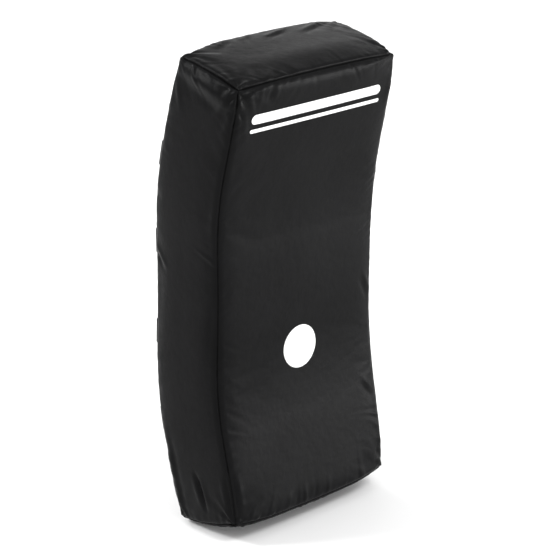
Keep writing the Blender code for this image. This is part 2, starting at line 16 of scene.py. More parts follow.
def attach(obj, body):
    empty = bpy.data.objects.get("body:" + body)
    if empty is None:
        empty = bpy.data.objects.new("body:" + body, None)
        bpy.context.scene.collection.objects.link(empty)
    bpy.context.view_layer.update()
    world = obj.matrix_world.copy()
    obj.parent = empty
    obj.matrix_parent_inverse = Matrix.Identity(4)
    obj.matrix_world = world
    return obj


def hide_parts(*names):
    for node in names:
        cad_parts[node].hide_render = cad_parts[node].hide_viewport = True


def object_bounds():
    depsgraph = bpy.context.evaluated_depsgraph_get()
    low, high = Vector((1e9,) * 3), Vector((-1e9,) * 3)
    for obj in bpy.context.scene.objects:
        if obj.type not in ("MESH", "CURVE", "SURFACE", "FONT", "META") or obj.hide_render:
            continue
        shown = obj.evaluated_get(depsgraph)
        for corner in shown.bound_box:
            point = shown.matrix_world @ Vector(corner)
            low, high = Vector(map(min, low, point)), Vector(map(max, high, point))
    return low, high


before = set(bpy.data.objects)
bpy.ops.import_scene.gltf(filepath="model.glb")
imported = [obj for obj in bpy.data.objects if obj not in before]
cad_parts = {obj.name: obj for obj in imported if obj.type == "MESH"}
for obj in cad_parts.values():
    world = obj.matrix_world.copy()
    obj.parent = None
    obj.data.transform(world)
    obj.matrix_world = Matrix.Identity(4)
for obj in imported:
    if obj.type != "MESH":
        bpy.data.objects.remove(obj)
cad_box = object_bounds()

MM = 0.001

# The pad
WIDTH = 350 * MM
THICKNESS = 150 * MM
LENGTH = 765 * MM
MIDDLE_RUN = 160 * MM
BEND_RADIUS = 684 * MM
BEND_ANGLE = math.radians(12.5)
EDGE_ROUND = 14 * MM
FRONT_CROWN = 4 * MM
SIDE_CROWN = 4 * MM
END_CROWN = 3 * MM
SEAM_DEPTH = 1.2 * MM
SEAM_REACH = 10 * MM
CORNER_DRAW = np.array((2.3, 6.6, 4.8)) * MM
CORNER_REACH = 45 * MM
SIDE_BOW = 3.6 * MM
END_BOW = 4.2 * MM
COVER = 0.9 * MM
FIT = 0.3 * MM
FRONT_FOAM = 30 * MM
BACK_FOAM = 30 * MM

# The prints
DOT_DIAMETER = 72 * MM
DOT_AT = -103.5 * MM
STRIPE_LENGTH = 280 * MM
WIDE_STRIPE = 16 * MM
WIDE_STRIPE_AT = 307 * MM
NARROW_STRIPE = 6 * MM
NARROW_STRIPE_GAP = 8 * MM

# The webbing
WEBBING = 1.8 * MM
BAND_HEIGHT = 40 * MM
ROW_AT = 150 * MM
ROW_SPREAD = 74 * MM
FOOT_END = 92 * MM
TURN_RADIUS = 8 * MM
STRAP_WIDTH = 50 * MM
STRAP_X = 68 * MM
ARCH_RADIUS = 52 * MM
ARCH_BASE = 18 * MM
STRAP_END = math.radians(35)
FLAP_END = math.radians(140)
PAD_THICKNESS = 1 * MM
PAD_WIDTH = 44 * MM
PAD_FROM = math.radians(55)
PAD_TO = math.radians(132)
GRIP_X = 82 * MM
GRIP_HEIGHT = 48 * MM
GRIP_WEBBING_WIDTH = 25 * MM
GRIP_RISE_AT = 64 * MM
GRIP_REACH = 54 * MM
SLEEVE_LENGTH = 94 * MM
SLEEVE_DIAMETER = 33 * MM
SLEEVE_BORE = 27 * MM

# The zip
ZIP_AT = -320 * MM
ZIP_MARGIN = 17 * MM
ZIP_TAPE = 12 * MM
ZIP_CHAIN = 6 * MM
ZIP_SPINE = 1.1 * MM
ZIP_PITCH = 5 * MM
TEETH_PROUD = 0.9 * MM
STOP_LENGTH = 4 * MM

# What follows from the sizes
HALF = np.array((WIDTH, THICKNESS, LENGTH)) / 2
CENTRE = np.array((0, -THICKNESS / 2, 0))
BEND_LENGTH = BEND_RADIUS * BEND_ANGLE
BAND_RISE = FIT + WEBBING
FOOT_LEVEL = BAND_RISE + FIT + WEBBING / 2
LAP = WEBBING + 3 * FIT + 2 * PAD_THICKNESS
FLAP_HINGE_AT = ARCH_RADIUS + LAP + TURN_RADIUS
ZIP_LENGTH = WIDTH - 2 * ZIP_MARGIN
ZIP_TEETH_LENGTH = ZIP_LENGTH - 2 * STOP_LENGTH - 4 * FIT

# How finely the cloth is woven into a mesh before it is halved
CELL = 5.5 * MM
EDGE_CELLS = 5

# The camera, from a fit of the pad's outline to the photograph
CAMERA_AZIMUTH = math.radians(-44.6052)
CAMERA_ELEVATION = math.radians(19.4328)
CAMERA_ROLL = math.radians(0.6646)
CAMERA_DISTANCE = 3.725
CAMERA_LENS = 151.08
CAMERA_SENSOR = 36
CAMERA_RIGHT = 0.0154
CAMERA_UP = -0.0034


# Bending


def bent(flat):
    """Where points of the flat pad go when it is bent towards its strike face."""
    along = np.abs(flat[..., 2])
    turn = np.clip(along - MIDDLE_RUN / 2, 0, BEND_LENGTH) / BEND_RADIUS
    past = np.maximum(along - MIDDLE_RUN / 2 - BEND_LENGTH, 0)
    forward = BEND_RADIUS * (1 - np.cos(turn)) + past * np.sin(turn)
    up = np.minimum(along, MIDDLE_RUN / 2) + BEND_RADIUS * np.sin(turn) + past * np.cos(turn)
    out = flat[..., 1] + THICKNESS / 2
    y = CENTRE[1] - forward + out * np.cos(turn)
    z = (up + out * np.sin(turn)) * np.where(flat[..., 2] < 0, -1, 1)
    return np.stack((flat[..., 0], y, z), axis=-1)


def to_middle(along, out):
    """A place along the surface that lies this far out from the middle, as a place along the middle."""
    far = np.abs(along)
    stretch = (BEND_RADIUS + out) / BEND_RADIUS
    in_bend = np.clip(far - MIDDLE_RUN / 2, 0, BEND_LENGTH * stretch)
    past = np.maximum(far - MIDDLE_RUN / 2 - BEND_LENGTH * stretch, 0)
    return np.copysign(np.minimum(far, MIDDLE_RUN / 2) + in_bend / stretch + past, along)


def on_back(flat):
    """Where a fitting's points go, when their z runs along the back's surface."""
    placed = flat.copy()
    placed[..., 2] = to_middle(flat[..., 2], THICKNESS / 2)
    return bent(placed)


def bowed(flat):
    """Where points go as the foam rounds the pad's outline: edges bow out, and corners are drawn in."""
    local = flat - CENTRE
    share = np.minimum(np.abs(local) / HALF, 1)
    from_corner = np.maximum(HALF - np.abs(local), 0).sum(axis=-1, keepdims=True)
    move = -CORNER_DRAW * np.exp(-((from_corner / CORNER_REACH) ** 2))
    move[..., 0] += SIDE_BOW * np.sin(math.pi * share[..., 2]) ** 2 * share[..., 0] ** 4
    move[..., 2] += END_BOW * (1 - share[..., 0] ** 2) * share[..., 2] ** 12
    return flat + move * np.sign(local)


def swollen(flat, inset=0.0):
    """Where points of the flat form go when the cover is filled: out in a panel's middle, in at a seam."""
    local = flat - CENTRE
    half = HALF - inset
    depth = half - np.abs(local)
    edge = EDGE_ROUND - inset
    reach = 1 - np.minimum(np.abs(local / half), 1) ** 2
    crowns = (SIDE_CROWN, np.where(local[..., 1] < 0, FRONT_CROWN, 0), END_CROWN)
    moved = flat.copy()
    for axis in range(3):
        others = [(axis + 1) % 3, (axis + 2) % 3]
        nearness = np.maximum(1 - depth[..., axis] / edge, 0)
        move = crowns[axis] * nearness * reach[..., others[0]] * reach[..., others[1]]
        for other, third in (others, others[::-1]):
            deeper = np.maximum(depth[..., axis], depth[..., other])
            off_seam = np.abs(depth[..., axis] - depth[..., other])
            off_seam = off_seam + np.maximum(deeper - depth[..., third], 0)
            drawn = SEAM_DEPTH * np.maximum(1 - off_seam / SEAM_REACH, 0) ** 2 * math.sqrt(0.5)
            move = move - np.where(deeper < edge, drawn, 0)
        moved[..., axis] += move * np.sign(local[..., axis])
    return moved + bowed(flat) - flat


# Meshes


def quads(rows, columns, ring=False):
    """The faces of points laid out in rows, each row closed into a ring if asked."""
    i, j = np.meshgrid(np.arange(rows - 1), np.arange(columns if ring else columns - 1), indexing="ij")
    right = (j + 1) % columns
    corners = (i * columns + j, i * columns + right, (i + 1) * columns + right, (i + 1) * columns + j)
    return np.stack(corners, axis=-1).reshape(-1, 4)


def tube(rows, columns):
    """The faces of rings of points, one after another, closed at both ends."""
    last = (rows - 1) * columns
    sides = [tuple(face) for face in quads(rows, columns, ring=True)]
    return sides + [tuple(range(columns))[::-1], tuple(range(last, last + columns))]


def taken(bm):
    """The points and faces of a bmesh, which is then freed."""
    points = np.array([vert.co for vert in bm.verts])
    faces = [[vert.index for vert in face.verts] for face in bm.faces]
    bm.free()
    return points, faces


def piece(name, points, faces, finish, body="pad", cloth=None, seam=None, sharp=40):
    """Makes a mesh a piece of the pad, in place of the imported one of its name. cloth holds each point's place
    in the weave, and seam how far the nearest seam is, in metres.
    """
    mesh = bpy.data.meshes.new(name)
    mesh.from_pydata(points.reshape(-1, 3).tolist(), [], [list(face) for face in faces])
    if cloth is not None:
        layer = mesh.attributes.new("cloth", "FLOAT_VECTOR", "POINT")
        flat = np.concatenate((cloth.reshape(-1, 2), np.zeros((cloth.size // 2, 1))), axis=1)
        layer.data.foreach_set("vector", flat.astype(np.float32).ravel())
    if seam is not None:
        layer = mesh.attributes.new("seam", "FLOAT", "POINT")
        layer.data.foreach_set("value", seam.astype(np.float32).ravel())
    mesh.shade_smooth()
    mesh.set_sharp_from_angle(angle=math.radians(sharp))
    mesh.materials.append(finish)
    obj = bpy.data.objects.new(name, mesh)
    bpy.context.scene.collection.objects.link(obj)
    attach(obj, body)
    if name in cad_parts:
        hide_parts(name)
    return obj


def thicken(obj, thickness):
    shell = obj.modifiers.new("thickness", "SOLIDIFY")
    shell.thickness = thickness
    shell.offset = -1
    shell.use_even_offset = False


def halved(grid):
    """A grid of points with a smooth point put between each two, along both directions."""
    for axis in (0, 1):
        grid = np.swapaxes(grid, 0, axis)
        ends = np.concatenate((2 * grid[:1] - grid[1:2], grid, 2 * grid[-1:] - grid[-2:-1]))
        between = (9 * (ends[1:-2] + ends[2:-1]) - ends[:-3] - ends[3:]) / 16
        finer = np.empty((2 * len(grid) - 1,) + grid.shape[1:])
        finer[::2] = grid
        finer[1::2] = between
        grid = np.swapaxes(finer, 0, axis)
    return grid


def grid_normals(grid, side):
    """The direction square to a grid of points at each of them, out of the pad."""
    normal = np.cross(np.gradient(grid, axis=0), np.gradient(grid, axis=1)) * side
    return normal / np.linalg.norm(normal, axis=-1, keepdims=True)


def wander(along, period, seed):
    """Smooth random values from -1 to 1 along a line, a new one each period."""
    rng = np.random.default_rng(seed)
    place = np.abs(along / period + 200)
    knots = rng.uniform(-1, 1, int(place.max()) + 3)
    low = np.floor(place).astype(int)
    share = (1 - np.cos(math.pi * (place - low))) / 2
    return knots[low] * (1 - share) + knots[low + 1] * share


# Materials

WEAVE_PITCH = 1.1 * MM


def node(tree, kind, inputs=None, **settings):
    made = tree.nodes.new("ShaderNode" + kind)
    for key, value in settings.items():
        setattr(made, key, value)
    for key, value in (inputs or {}).items():
        if isinstance(value, bpy.types.NodeSocket):
            tree.links.new(value, made.inputs[key])
        else:
            made.inputs[key].default_value = value
    return made


def material(name, roughness, specular=0.5, metallic=0.0, sheen=0.0):
    made = bpy.data.materials.new(name)
    made.use_nodes = True
    values = {
        "Roughness": roughness, "Specular IOR Level": specular, "Metallic": metallic, "Sheen Weight": sheen,
    }
    for key, value in values.items():
        made.node_tree.nodes["Principled BSDF"].inputs[key].default_value = value
    return made, made.node_tree


def blend_colours(tree, share, dark, light, low=0.3, high=0.7):
    ramp = node(tree, "ValToRGB", {"Fac": share})
    first, last = ramp.color_ramp.elements
    first.position, first.color = low, (*dark, 1)
    last.position, last.color = high, (*light, 1)
    return ramp.outputs["Color"]


def weave_place(tree):
    return node(tree, "Attribute", attribute_name="cloth").outputs["Vector"]


def body_place(tree):
    return node(tree, "TexCoord").outputs["Object"]


def ribs(tree, place, pitch, direction):
    """Waves this far apart along one direction, from 0 to 1."""
    inputs = {"Vector": place, "Scale": 2 * math.pi / 20 / pitch}
    return node(tree, "TexWave", inputs, bands_direction=direction).outputs["Fac"]


def specks(tree, place, scale, detail=3.0, roughness=0.55):
    inputs = {"Vector": place, "Scale": scale, "Detail": detail, "Roughness": roughness}
    return node(tree, "TexNoise", inputs).outputs["Fac"]


def math_node(tree, operation, first, second):
    return node(tree, "Math", {0: first, 1: second}, operation=operation).outputs["Value"]


def spread(tree, share, low, high, start=0.0, end=1.0, **how):
    """Takes a share that runs from start to end to a value from low to high."""
    inputs = {"Value": share, "From Min": start, "From Max": end, "To Min": low, "To Max": high}
    return node(tree, "MapRange", inputs, **how).outputs["Result"]


def finished(made, colour, roughness=None, *bumps):
    """The material with its colour and roughness linked and its bumps stacked: each bump is a height from 0
    to 1 and its depth in metres.
    """
    tree = made.node_tree
    links = {"Base Color": colour, "Roughness": roughness, "Normal": None}
    for height, depth in bumps:
        inputs = {"Height": height, "Distance": depth, "Strength": 1.0}
        if links["Normal"]:
            inputs["Normal"] = links["Normal"]
        links["Normal"] = node(tree, "Bump", inputs).outputs["Normal"]
    for key, socket in links.items():
        if socket:
            tree.links.new(socket, tree.nodes["Principled BSDF"].inputs[key])
    return made


def plain_weave(tree):
    """The cover's weave, which also shows through a print."""
    cloth = weave_place(tree)
    return math_node(tree, "MAXIMUM", *(ribs(tree, cloth, WEAVE_PITCH, way) for way in "XY"))


def creased(tree):
    """The fine creases of the cover, which a print has too."""
    return specks(tree, body_place(tree), 70, detail=5, roughness=0.6)


def coated_nylon():
    """Black cloth with a slight gloss, duller down in a seam, where its colour is darkened as painted shade."""
    made, tree = material("coated_nylon", 0.34, specular=0.042)
    creases = creased(tree)
    cloudy = specks(tree, body_place(tree), 9, detail=4)
    colour = blend_colours(tree, cloudy, (0.0043, 0.0043, 0.0045), (0.0064, 0.0064, 0.0067))
    off_seam = node(tree, "Attribute", attribute_name="seam").outputs["Fac"]
    how = {"interpolation_type": "SMOOTHSTEP"}
    # Painted shade: down in a seam the colour is scaled to half, standing in for the shade in the seam's
    # groove; the same share makes the cloth duller there
    seam_painted_shade_and_dulling = spread(tree, off_seam, 0.5, 1.0, start=0.3 * MM, end=2.2 * MM, **how)
    inputs = {"Vector": colour, "Scale": seam_painted_shade_and_dulling}
    shaded = node(tree, "VectorMath", inputs, operation="SCALE").outputs["Vector"]
    dull = spread(tree, seam_painted_shade_and_dulling, 0.5, 0)
    roughness = math_node(tree, "ADD", spread(tree, creases, 0.26, 0.42), dull)
    weave = plain_weave(tree)
    return finished(made, shaded, roughness, (creases, 0.5 * MM), (weave, 0.05 * MM))


def webbing():
    made, tree = material("webbing", 0.7, specular=0.16)
    cloth = weave_place(tree)
    cells = node(tree, "TexBrick", {
        "Vector": cloth, "Scale": 1.0, "Brick Width": 3.2 * MM, "Row Height": 1.5 * MM,
        "Mortar Size": 0.22 * MM, "Mortar Smooth": 1.0,
        "Color1": (1, 1, 1, 1), "Color2": (0.8, 0.8, 0.8, 1), "Mortar": (0, 0, 0, 1),
    }).outputs["Color"]
    yarn = specks(tree, cloth, 900, detail=2)
    colour = blend_colours(tree, cells, (0.0025, 0.0025, 0.0027), (0.0095, 0.0095, 0.01), low=0.0, high=0.9)
    roughness = spread(tree, yarn, 0.6, 0.8)
    return finished(made, colour, roughness, (cells, 0.3 * MM), (yarn, 0.08 * MM))


def thread():
    made, tree = material("thread", 0.55, specular=0.4)
    twist = specks(tree, body_place(tree), 2400, detail=1)
    colour = blend_colours(tree, twist, (0.010, 0.010, 0.011), (0.026, 0.026, 0.027))
    return finished(made, colour, None, (twist, 0.1 * MM))


def foam(name, dark, light, pore):
    made, tree = material(name, 0.9, specular=0.2)
    place = body_place(tree)
    pores = node(tree, "TexVoronoi", {"Vector": place, "Scale": 1 / pore}).outputs["Distance"]
    patches = specks(tree, place, 25)
    colour = blend_colours(tree, patches, dark, light)
    return finished(made, colour, spread(tree, patches, 0.82, 0.95), (pores, 0.6 * MM))


def white_print():
    made, tree = material("white_print", 0.5, specular=0.4)
    scuffs = specks(tree, body_place(tree), 260, detail=6, roughness=0.7)
    colour = blend_colours(tree, scuffs, (0.74, 0.74, 0.73), (0.9, 0.9, 0.89), low=0.2, high=0.45)
    layers = (creased(tree), 0.4 * MM), (plain_weave(tree), 0.04 * MM)
    return finished(made, colour, spread(tree, scuffs, 0.6, 0.42), *layers)


def zip_tape():
    made, tree = material("zip_tape", 0.8, specular=0.25)
    cloth = weave_place(tree)
    slant, across = ribs(tree, cloth, 0.8 * MM, "DIAGONAL"), ribs(tree, cloth, 1.6 * MM, "Y")
    twill = math_node(tree, "MULTIPLY", slant, across)
    colour = blend_colours(tree, twill, (0.003, 0.003, 0.0033), (0.010, 0.010, 0.0105), low=0.0, high=0.8)
    return finished(made, colour, spread(tree, twill, 0.72, 0.88), (twill, 0.15 * MM))


def smooth_solid(name, dark, light, roughness, grain, depth, metallic=0.0, specular=0.5):
    """Moulded plastic, rubber or painted metal: a fine grain with wear in its colour and its gloss."""
    made, tree = material(name, roughness[0], specular=specular, metallic=metallic)
    place = body_place(tree)
    fine = specks(tree, place, grain, detail=4, roughness=0.6)
    wear = specks(tree, place, grain / 12, detail=5, roughness=0.65)
    colour = blend_colours(tree, wear, dark, light)
    return finished(made, colour, spread(tree, fine, *roughness), (fine, depth))


def fuzzy(name, dark, light, scale, depth):
    """The pile of a loop pad or the hooks of a hook pad, seen from above."""
    made, tree = material(name, 0.9, specular=0.1, sheen=0.08)
    pile = specks(tree, weave_place(tree), scale, detail=6, roughness=0.75)
    colour = blend_colours(tree, pile, dark, light)
    return finished(made, colour, spread(tree, pile, 0.82, 0.96), (pile, depth))


NYLON = coated_nylon()
WEB = webbing()
THREAD = thread()
FIRM_FOAM = foam("firm_foam", (0.05, 0.054, 0.062), (0.07, 0.076, 0.088), 1.2 * MM)
SOFT_FOAM = foam("soft_foam", (0.48, 0.48, 0.44), (0.6, 0.6, 0.56), 2.2 * MM)
PRINT_WHITE = white_print()
TAPE = zip_tape()
ZIP_PLASTIC = smooth_solid(
    "zip_plastic", (0.006, 0.006, 0.006), (0.011, 0.011, 0.011), (0.25, 0.4), 1500, 0.02 * MM, specular=0.3)
ZIP_METAL = smooth_solid(
    "zip_metal", (0.02, 0.02, 0.021), (0.05, 0.05, 0.052), (0.3, 0.45), 900, 0.02 * MM, metallic=0.85)
LOOPS = fuzzy("loops", (0.004, 0.004, 0.0045), (0.016, 0.016, 0.017), 1300, 0.7 * MM)
HOOKS = fuzzy("hooks", (0.003, 0.003, 0.0033), (0.012, 0.012, 0.0125), 1700, 0.4 * MM)
RUBBER = smooth_solid(
    "rubber", (0.005, 0.005, 0.0052), (0.0105, 0.0105, 0.0108), (0.5, 0.7), 1100, 0.06 * MM, specular=0.16)


# The sewn cover


def stations(half, marks=()):
    """Places across one direction of the pad: each a flat place, and a slope where the edge turns round."""
    flat = half - EDGE_ROUND
    ends = sorted((-flat, *marks, flat))
    places = []
    for low, high in zip(ends, ends[1:]):
        cells = max(round((high - low) / CELL), 1)
        places += [low + (high - low) * cell / cells for cell in range(cells)]
    places = [(place, 0) for place in places + [flat]]
    turns = [(flat, math.tan(math.pi / 4 * cell / EDGE_CELLS)) for cell in range(1, EDGE_CELLS + 1)]
    before = [(-place, -slope) for place, slope in reversed(turns)]
    return np.array(before + places + turns)


class Panel:
    """One panel of the cover as a grid of points, with each point's place on the flat panel."""

    def __init__(self, axis, side, marks=((), ())):
        self.side = side
        i, j = (axis + 1) % 3, (axis + 2) % 3
        first, second = stations(HALF[i], marks[0]), stations(HALF[j], marks[1])
        slopes = np.sqrt(1 + first[:, None, 1] ** 2 + second[None, :, 1] ** 2)
        flat = np.empty((len(first), len(second), 3))
        flat[..., i] = first[:, None, 0] + EDGE_ROUND * first[:, None, 1] / slopes
        flat[..., j] = second[None, :, 0] + EDGE_ROUND * second[None, :, 1] / slopes
        flat[..., axis] = side * (HALF[axis] - EDGE_ROUND + EDGE_ROUND / slopes)
        self.grid = bent(swollen(flat + CENTRE))
        turned = [line[:, 0] + EDGE_ROUND * np.arctan(line[:, 1]) for line in (first, second)]
        self.cloth = np.stack(np.meshgrid(*turned, indexing="ij"), axis=-1)

    def refine(self):
        self.grid = halved(self.grid)
        self.cloth = halved(self.cloth)
        self.rest = self.grid
        self.rim = np.ones(self.grid.shape[:2], bool)
        self.rim[1:-1, 1:-1] = False

    def edge_distance(self):
        """How far each point lies from the panel's four seams, and where along each."""
        u, v = self.cloth[..., 0], self.cloth[..., 1]
        return [(u - u.min(), v), (u.max() - u, v), (v - v.min(), u), (v.max() - v, u)]

    def seam(self):
        """How far each point lies from the nearest seam."""
        return np.min([edge[0] for edge in self.edge_distance()], axis=0)

    def press(self, height):
        """Moves the points out along the panel's own normal."""
        self.grid = self.grid + grid_normals(self.grid, self.side) * height[..., None]

    def faces(self):
        rows, columns = self.grid.shape[:2]
        return quads(rows, columns)[:, ::-1] if self.side > 0 else quads(rows, columns)

    def at(self, u, v, rise):
        """The place on the finished panel over a place of the flat one, raised this far."""
        rows = np.interp(u, self.cloth[:, 0, 0], np.arange(self.cloth.shape[0]))
        columns = np.interp(v, self.cloth[0, :, 1], np.arange(self.cloth.shape[1]))
        low_row = np.minimum(rows.astype(int), self.cloth.shape[0] - 2)
        low_column = np.minimum(columns.astype(int), self.cloth.shape[1] - 2)
        a, b = (rows - low_row)[..., None], (columns - low_column)[..., None]
        raised = self.grid + grid_normals(self.grid, self.side) * rise
        near = raised[low_row, low_column] * (1 - b) + raised[low_row, low_column + 1] * b
        far = raised[low_row + 1, low_column] * (1 - b) + raised[low_row + 1, low_column + 1] * b
        return near * (1 - a) + far * a


def bell(off, reach):
    """1 at nothing, dying away over this reach to either side."""
    return np.exp(-((off / reach) ** 2))


def risen(off, reach):
    """0 at nothing, 1 at this reach, then dying away."""
    return off / reach * np.exp(1 - off / reach)


def puckers(panel, seed):
    """Uneven gathers that stand square to each seam and die away from it, strongest at the corners."""
    height = np.zeros(panel.grid.shape[:2])
    for number, (off, along) in enumerate(panel.edge_distance()):
        key = seed + 10 * number
        end = np.minimum(along - along.min(), along.max() - along)
        crowd = 0.3 + 0.9 * np.maximum(wander(along, CROWD_SPAN, key), 0) + 0.9 * np.exp(-end / CORNER_CROWD)
        line = along + off * (GATHER_LEAN * wander(along, LEAN_SPAN, key + 1))
        gathers = wander(line, GATHER_PITCH, key + 2) * (0.55 + 0.45 * wander(line, FADE_SPAN, key + 3))
        reach = GATHER_REACH + GATHER_REACH_SPREAD * wander(line, REACH_SPAN, key + 4)
        height += GATHER * crowd * gathers * risen(off, reach)
    return height


def fans(panel, seed):
    """Folds that run out from each corner, and the small point that the corner itself stands out in."""
    height = np.zeros(panel.grid.shape[:2])
    edges = panel.edge_distance()
    for number, (first, second) in enumerate(((0, 2), (0, 3), (1, 2), (1, 3))):
        u, v = edges[first][0], edges[second][0]
        off, angle = np.hypot(u, v), np.arctan2(v, u)
        key = seed + 10 * number
        spokes = wander(angle, SPOKE_ANGLE, key) * (0.7 + 0.3 * wander(off, SPOKE_SPAN, key + 1))
        reach = FAN_REACH + FAN_REACH_SPREAD * wander(angle, FAN_ANGLE, key + 2)
        height += FAN * spokes * risen(off, reach)
        height += CORNER_POINT * bell(off, CORNER_POINT_REACH)
    return height


def folds(panel, marks):
    """Single folds: each from one place on the panel to another, so wide, and so far out or in."""
    height = np.zeros(panel.grid.shape[:2])
    for *ends, width, rise in marks:
        start, end = np.array(ends).reshape(2, 2) * MM
        run = np.linalg.norm(end - start)
        ahead = (end - start) / run
        share = np.clip((panel.cloth - start) @ ahead / run, 0, 1)
        near = start + share[..., None] * (end - start)
        off = np.linalg.norm(panel.cloth - near, axis=-1)
        wave = np.sin(math.pi * (FOLD_END + (1 - 2 * FOLD_END) * share))
        height += rise * MM * bell(off, width * MM) * wave
    return height


def groove(panel):
    """The line of a seam, where the stitches pull the cloth down between the panels."""
    return -SEAM_GROOVE * bell(panel.seam(), SEAM_GROOVE_WIDTH)


def sew(panels):
    """Brings the edges of neighbouring panels back together where pressing has moved them apart."""
    rest = np.concatenate([panel.rest[panel.rim] for panel in panels])
    moved = np.concatenate([panel.grid[panel.rim] for panel in panels])
    tree = KDTree(len(rest))
    for index, point in enumerate(rest):
        tree.insert(point, index)
    tree.balance()
    same = [[index for _, index, _ in tree.find_range(point, SAME_PLACE)] for point in rest]
    joined = np.array([moved[indices].mean(axis=0) for indices in same])
    start = 0
    for panel in panels:
        count = panel.rim.sum()
        panel.grid[panel.rim] = joined[start:start + count]
        start += count


ZIP_MIDDLE = float(to_middle(np.array(ZIP_AT), THICKNESS / 2))
WINDOW = (ZIP_MIDDLE - ZIP_CHAIN / 2 - ZIP_TAPE, ZIP_MIDDLE + ZIP_CHAIN / 2 + ZIP_TAPE)
PANELS = {
    "front_panel": Panel(1, -1),
    "back_panel": Panel(1, 1, marks=((WINDOW[0], ZIP_MIDDLE, WINDOW[1]), (-ZIP_LENGTH / 2, ZIP_LENGTH / 2))),
    "left_side_panel": Panel(0, -1),
    "right_side_panel": Panel(0, 1),
    "bottom_panel": Panel(2, -1),
    "top_panel": Panel(2, 1),
}


# The gathers along the seams: how high, how far apart, how far from the seam they stand, and the lengths of
# seam over which they crowd together, lean, fade and change their reach
GATHER = 1.3 * MM
GATHER_PITCH = 7 * MM
GATHER_REACH = 8 * MM
GATHER_REACH_SPREAD = 5 * MM
GATHER_LEAN = 0.9
CROWD_SPAN = 60 * MM
CORNER_CROWD = 35 * MM  # how far from a corner they crowd together more
LEAN_SPAN = 75 * MM
FADE_SPAN = 26 * MM
REACH_SPAN = 19 * MM

# The folds that run out from each corner, with angles in radians
FAN = 1.5 * MM
FAN_REACH = 20 * MM
FAN_REACH_SPREAD = 6 * MM
FAN_ANGLE = 0.5
SPOKE_ANGLE = 0.2
SPOKE_SPAN = 15 * MM
CORNER_POINT = 3.2 * MM
CORNER_POINT_REACH = 7 * MM

# The other small forms of the sewn cloth
FOLD_END = 0.08  # how far into half a wave a fold starts, and how far before its end it stops, as a share
SEAM_GROOVE = 0.9 * MM
SEAM_GROOVE_WIDTH = 2.1 * MM
SAME_PLACE = 0.3 * MM

# Folds that the photograph shows, at each panel's own places in mm: where each starts and ends (two places
# each), its width, and how far it stands out
FOLDS = {
    "top_panel": (
        (-150, -72, 172, -72, 30, -3.6), (-120, -26, 130, -26, 26, 1.4), (-168, -64, -156, -52, 3, -2.0),
        (-160, -70, -148, -60, 3, 1.6), (-172, 38, -172, -68, 11, -1.2), (-155, -60, -155, 30, 8, -1.2),
        (-14, 45, 32, 55, 4, 1.5), (-10, 37, 28, 46, 4, -1.2), (18, 50, 58, 63, 4, 1.2),
        (58, 39, 134, 63, 4.5, 1.7), (66, 31, 130, 54, 4.5, -1.4), (98, 42, 150, 64, 4, 1.3),
        (-60, 52, -28, 62, 4, 1.0), (-112, 50, -80, 64, 4, 1.1), (-104, 42, -76, 56, 4, -0.9),
        (-114, -70, -88, -47, 4, 1.3), (-102, -70, -78, -54, 3.5, -1.1), (-140, -60, -120, -34, 5, 1.2),
        (150, -62, 160, -20, 5, 1.0), (138, 55, 160, 20, 5, 1.1),
    ),
    "front_panel": (
        (379, -150, 379, 172, 12, -3.6), (372, -168, 358, -154, 3, -2.4), (358, -170, 344, -158, 3.2, 2.0),
        (343, -170, 330, -158, 3.2, -2.2), (374, -152, 330, -138, 5, 1.3), (377, -90, 350, -97, 4, 1.2),
        (377, -102, 348, -112, 4, -1.1), (362, -166, 312, -156, 5, -1.4), (350, -160, 296, -148, 6, 1.2),
        (376, -125, 344, -128, 4, 1.0), (-12, 148, -50, 166, 4, 1.4), (-24, 140, -60, 158, 4, -1.2),
        (-206, 138, -240, 162, 4, 1.5), (-220, 134, -252, 156, 4, -1.3), (-376, -62, -350, -52, 4, 1.3),
        (-376, -42, -354, -36, 4, -1.2), (-376, -22, -350, -19, 4, 1.4), (-376, -2, -356, 5, 4, -1.1),
        (-375, 30, -352, 36, 4, 1.1), (-290, -167, -368, -165, 4.5, -3.2), (-300, -157, -360, -155, 5, 1.1),
        (-340, 168, -300, 160, 5, 1.3), (-362, 150, -330, 158, 5, -1.2), (340, 164, 290, 160, 6, 1.2),
        (120, 166, 60, 160, 6, 0.9),
    ),
    "left_side_panel": (
        (-70, 368, -56, 350, 3.2, -2.4), (-60, 374, -46, 360, 3, 1.6), (-70, 348, -60, 334, 3.2, -2.4),
        (-71, 334, -65, 316, 3.4, 1.6), (38, 379, -68, 379, 15, -1.2), (56, 364, -76, 350, 13, 6.4),
        (26, 342, -56, 326, 8, -1.2), (3, -292, -8, -354, 3.6, -4.2), (11, -298, 2, -350, 5, 1.3),
        (-8, -300, -16, -350, 5, 0.9), (-66, -292, -66, -366, 4.5, -3.4), (-57, -300, -58, -360, 5, 1.3),
        (59, -222, 56, -372, 6, 1.7), (48, -240, 46, -360, 6, -1.2), (70, 76, 40, 46, 5, 1.6),
        (66, 62, 44, 36, 5, -1.4), (-62, 358, -34, 326, 4, 1.3), (-50, 364, -20, 342, 4, -1.2),
        (-66, 342, -56, 296, 5, 1.1), (60, 340, 40, 300, 5, 1.0), (-66, 180, -60, 120, 6, 0.9),
        (-66, 20, -60, -60, 6, -0.9),
    ),
}

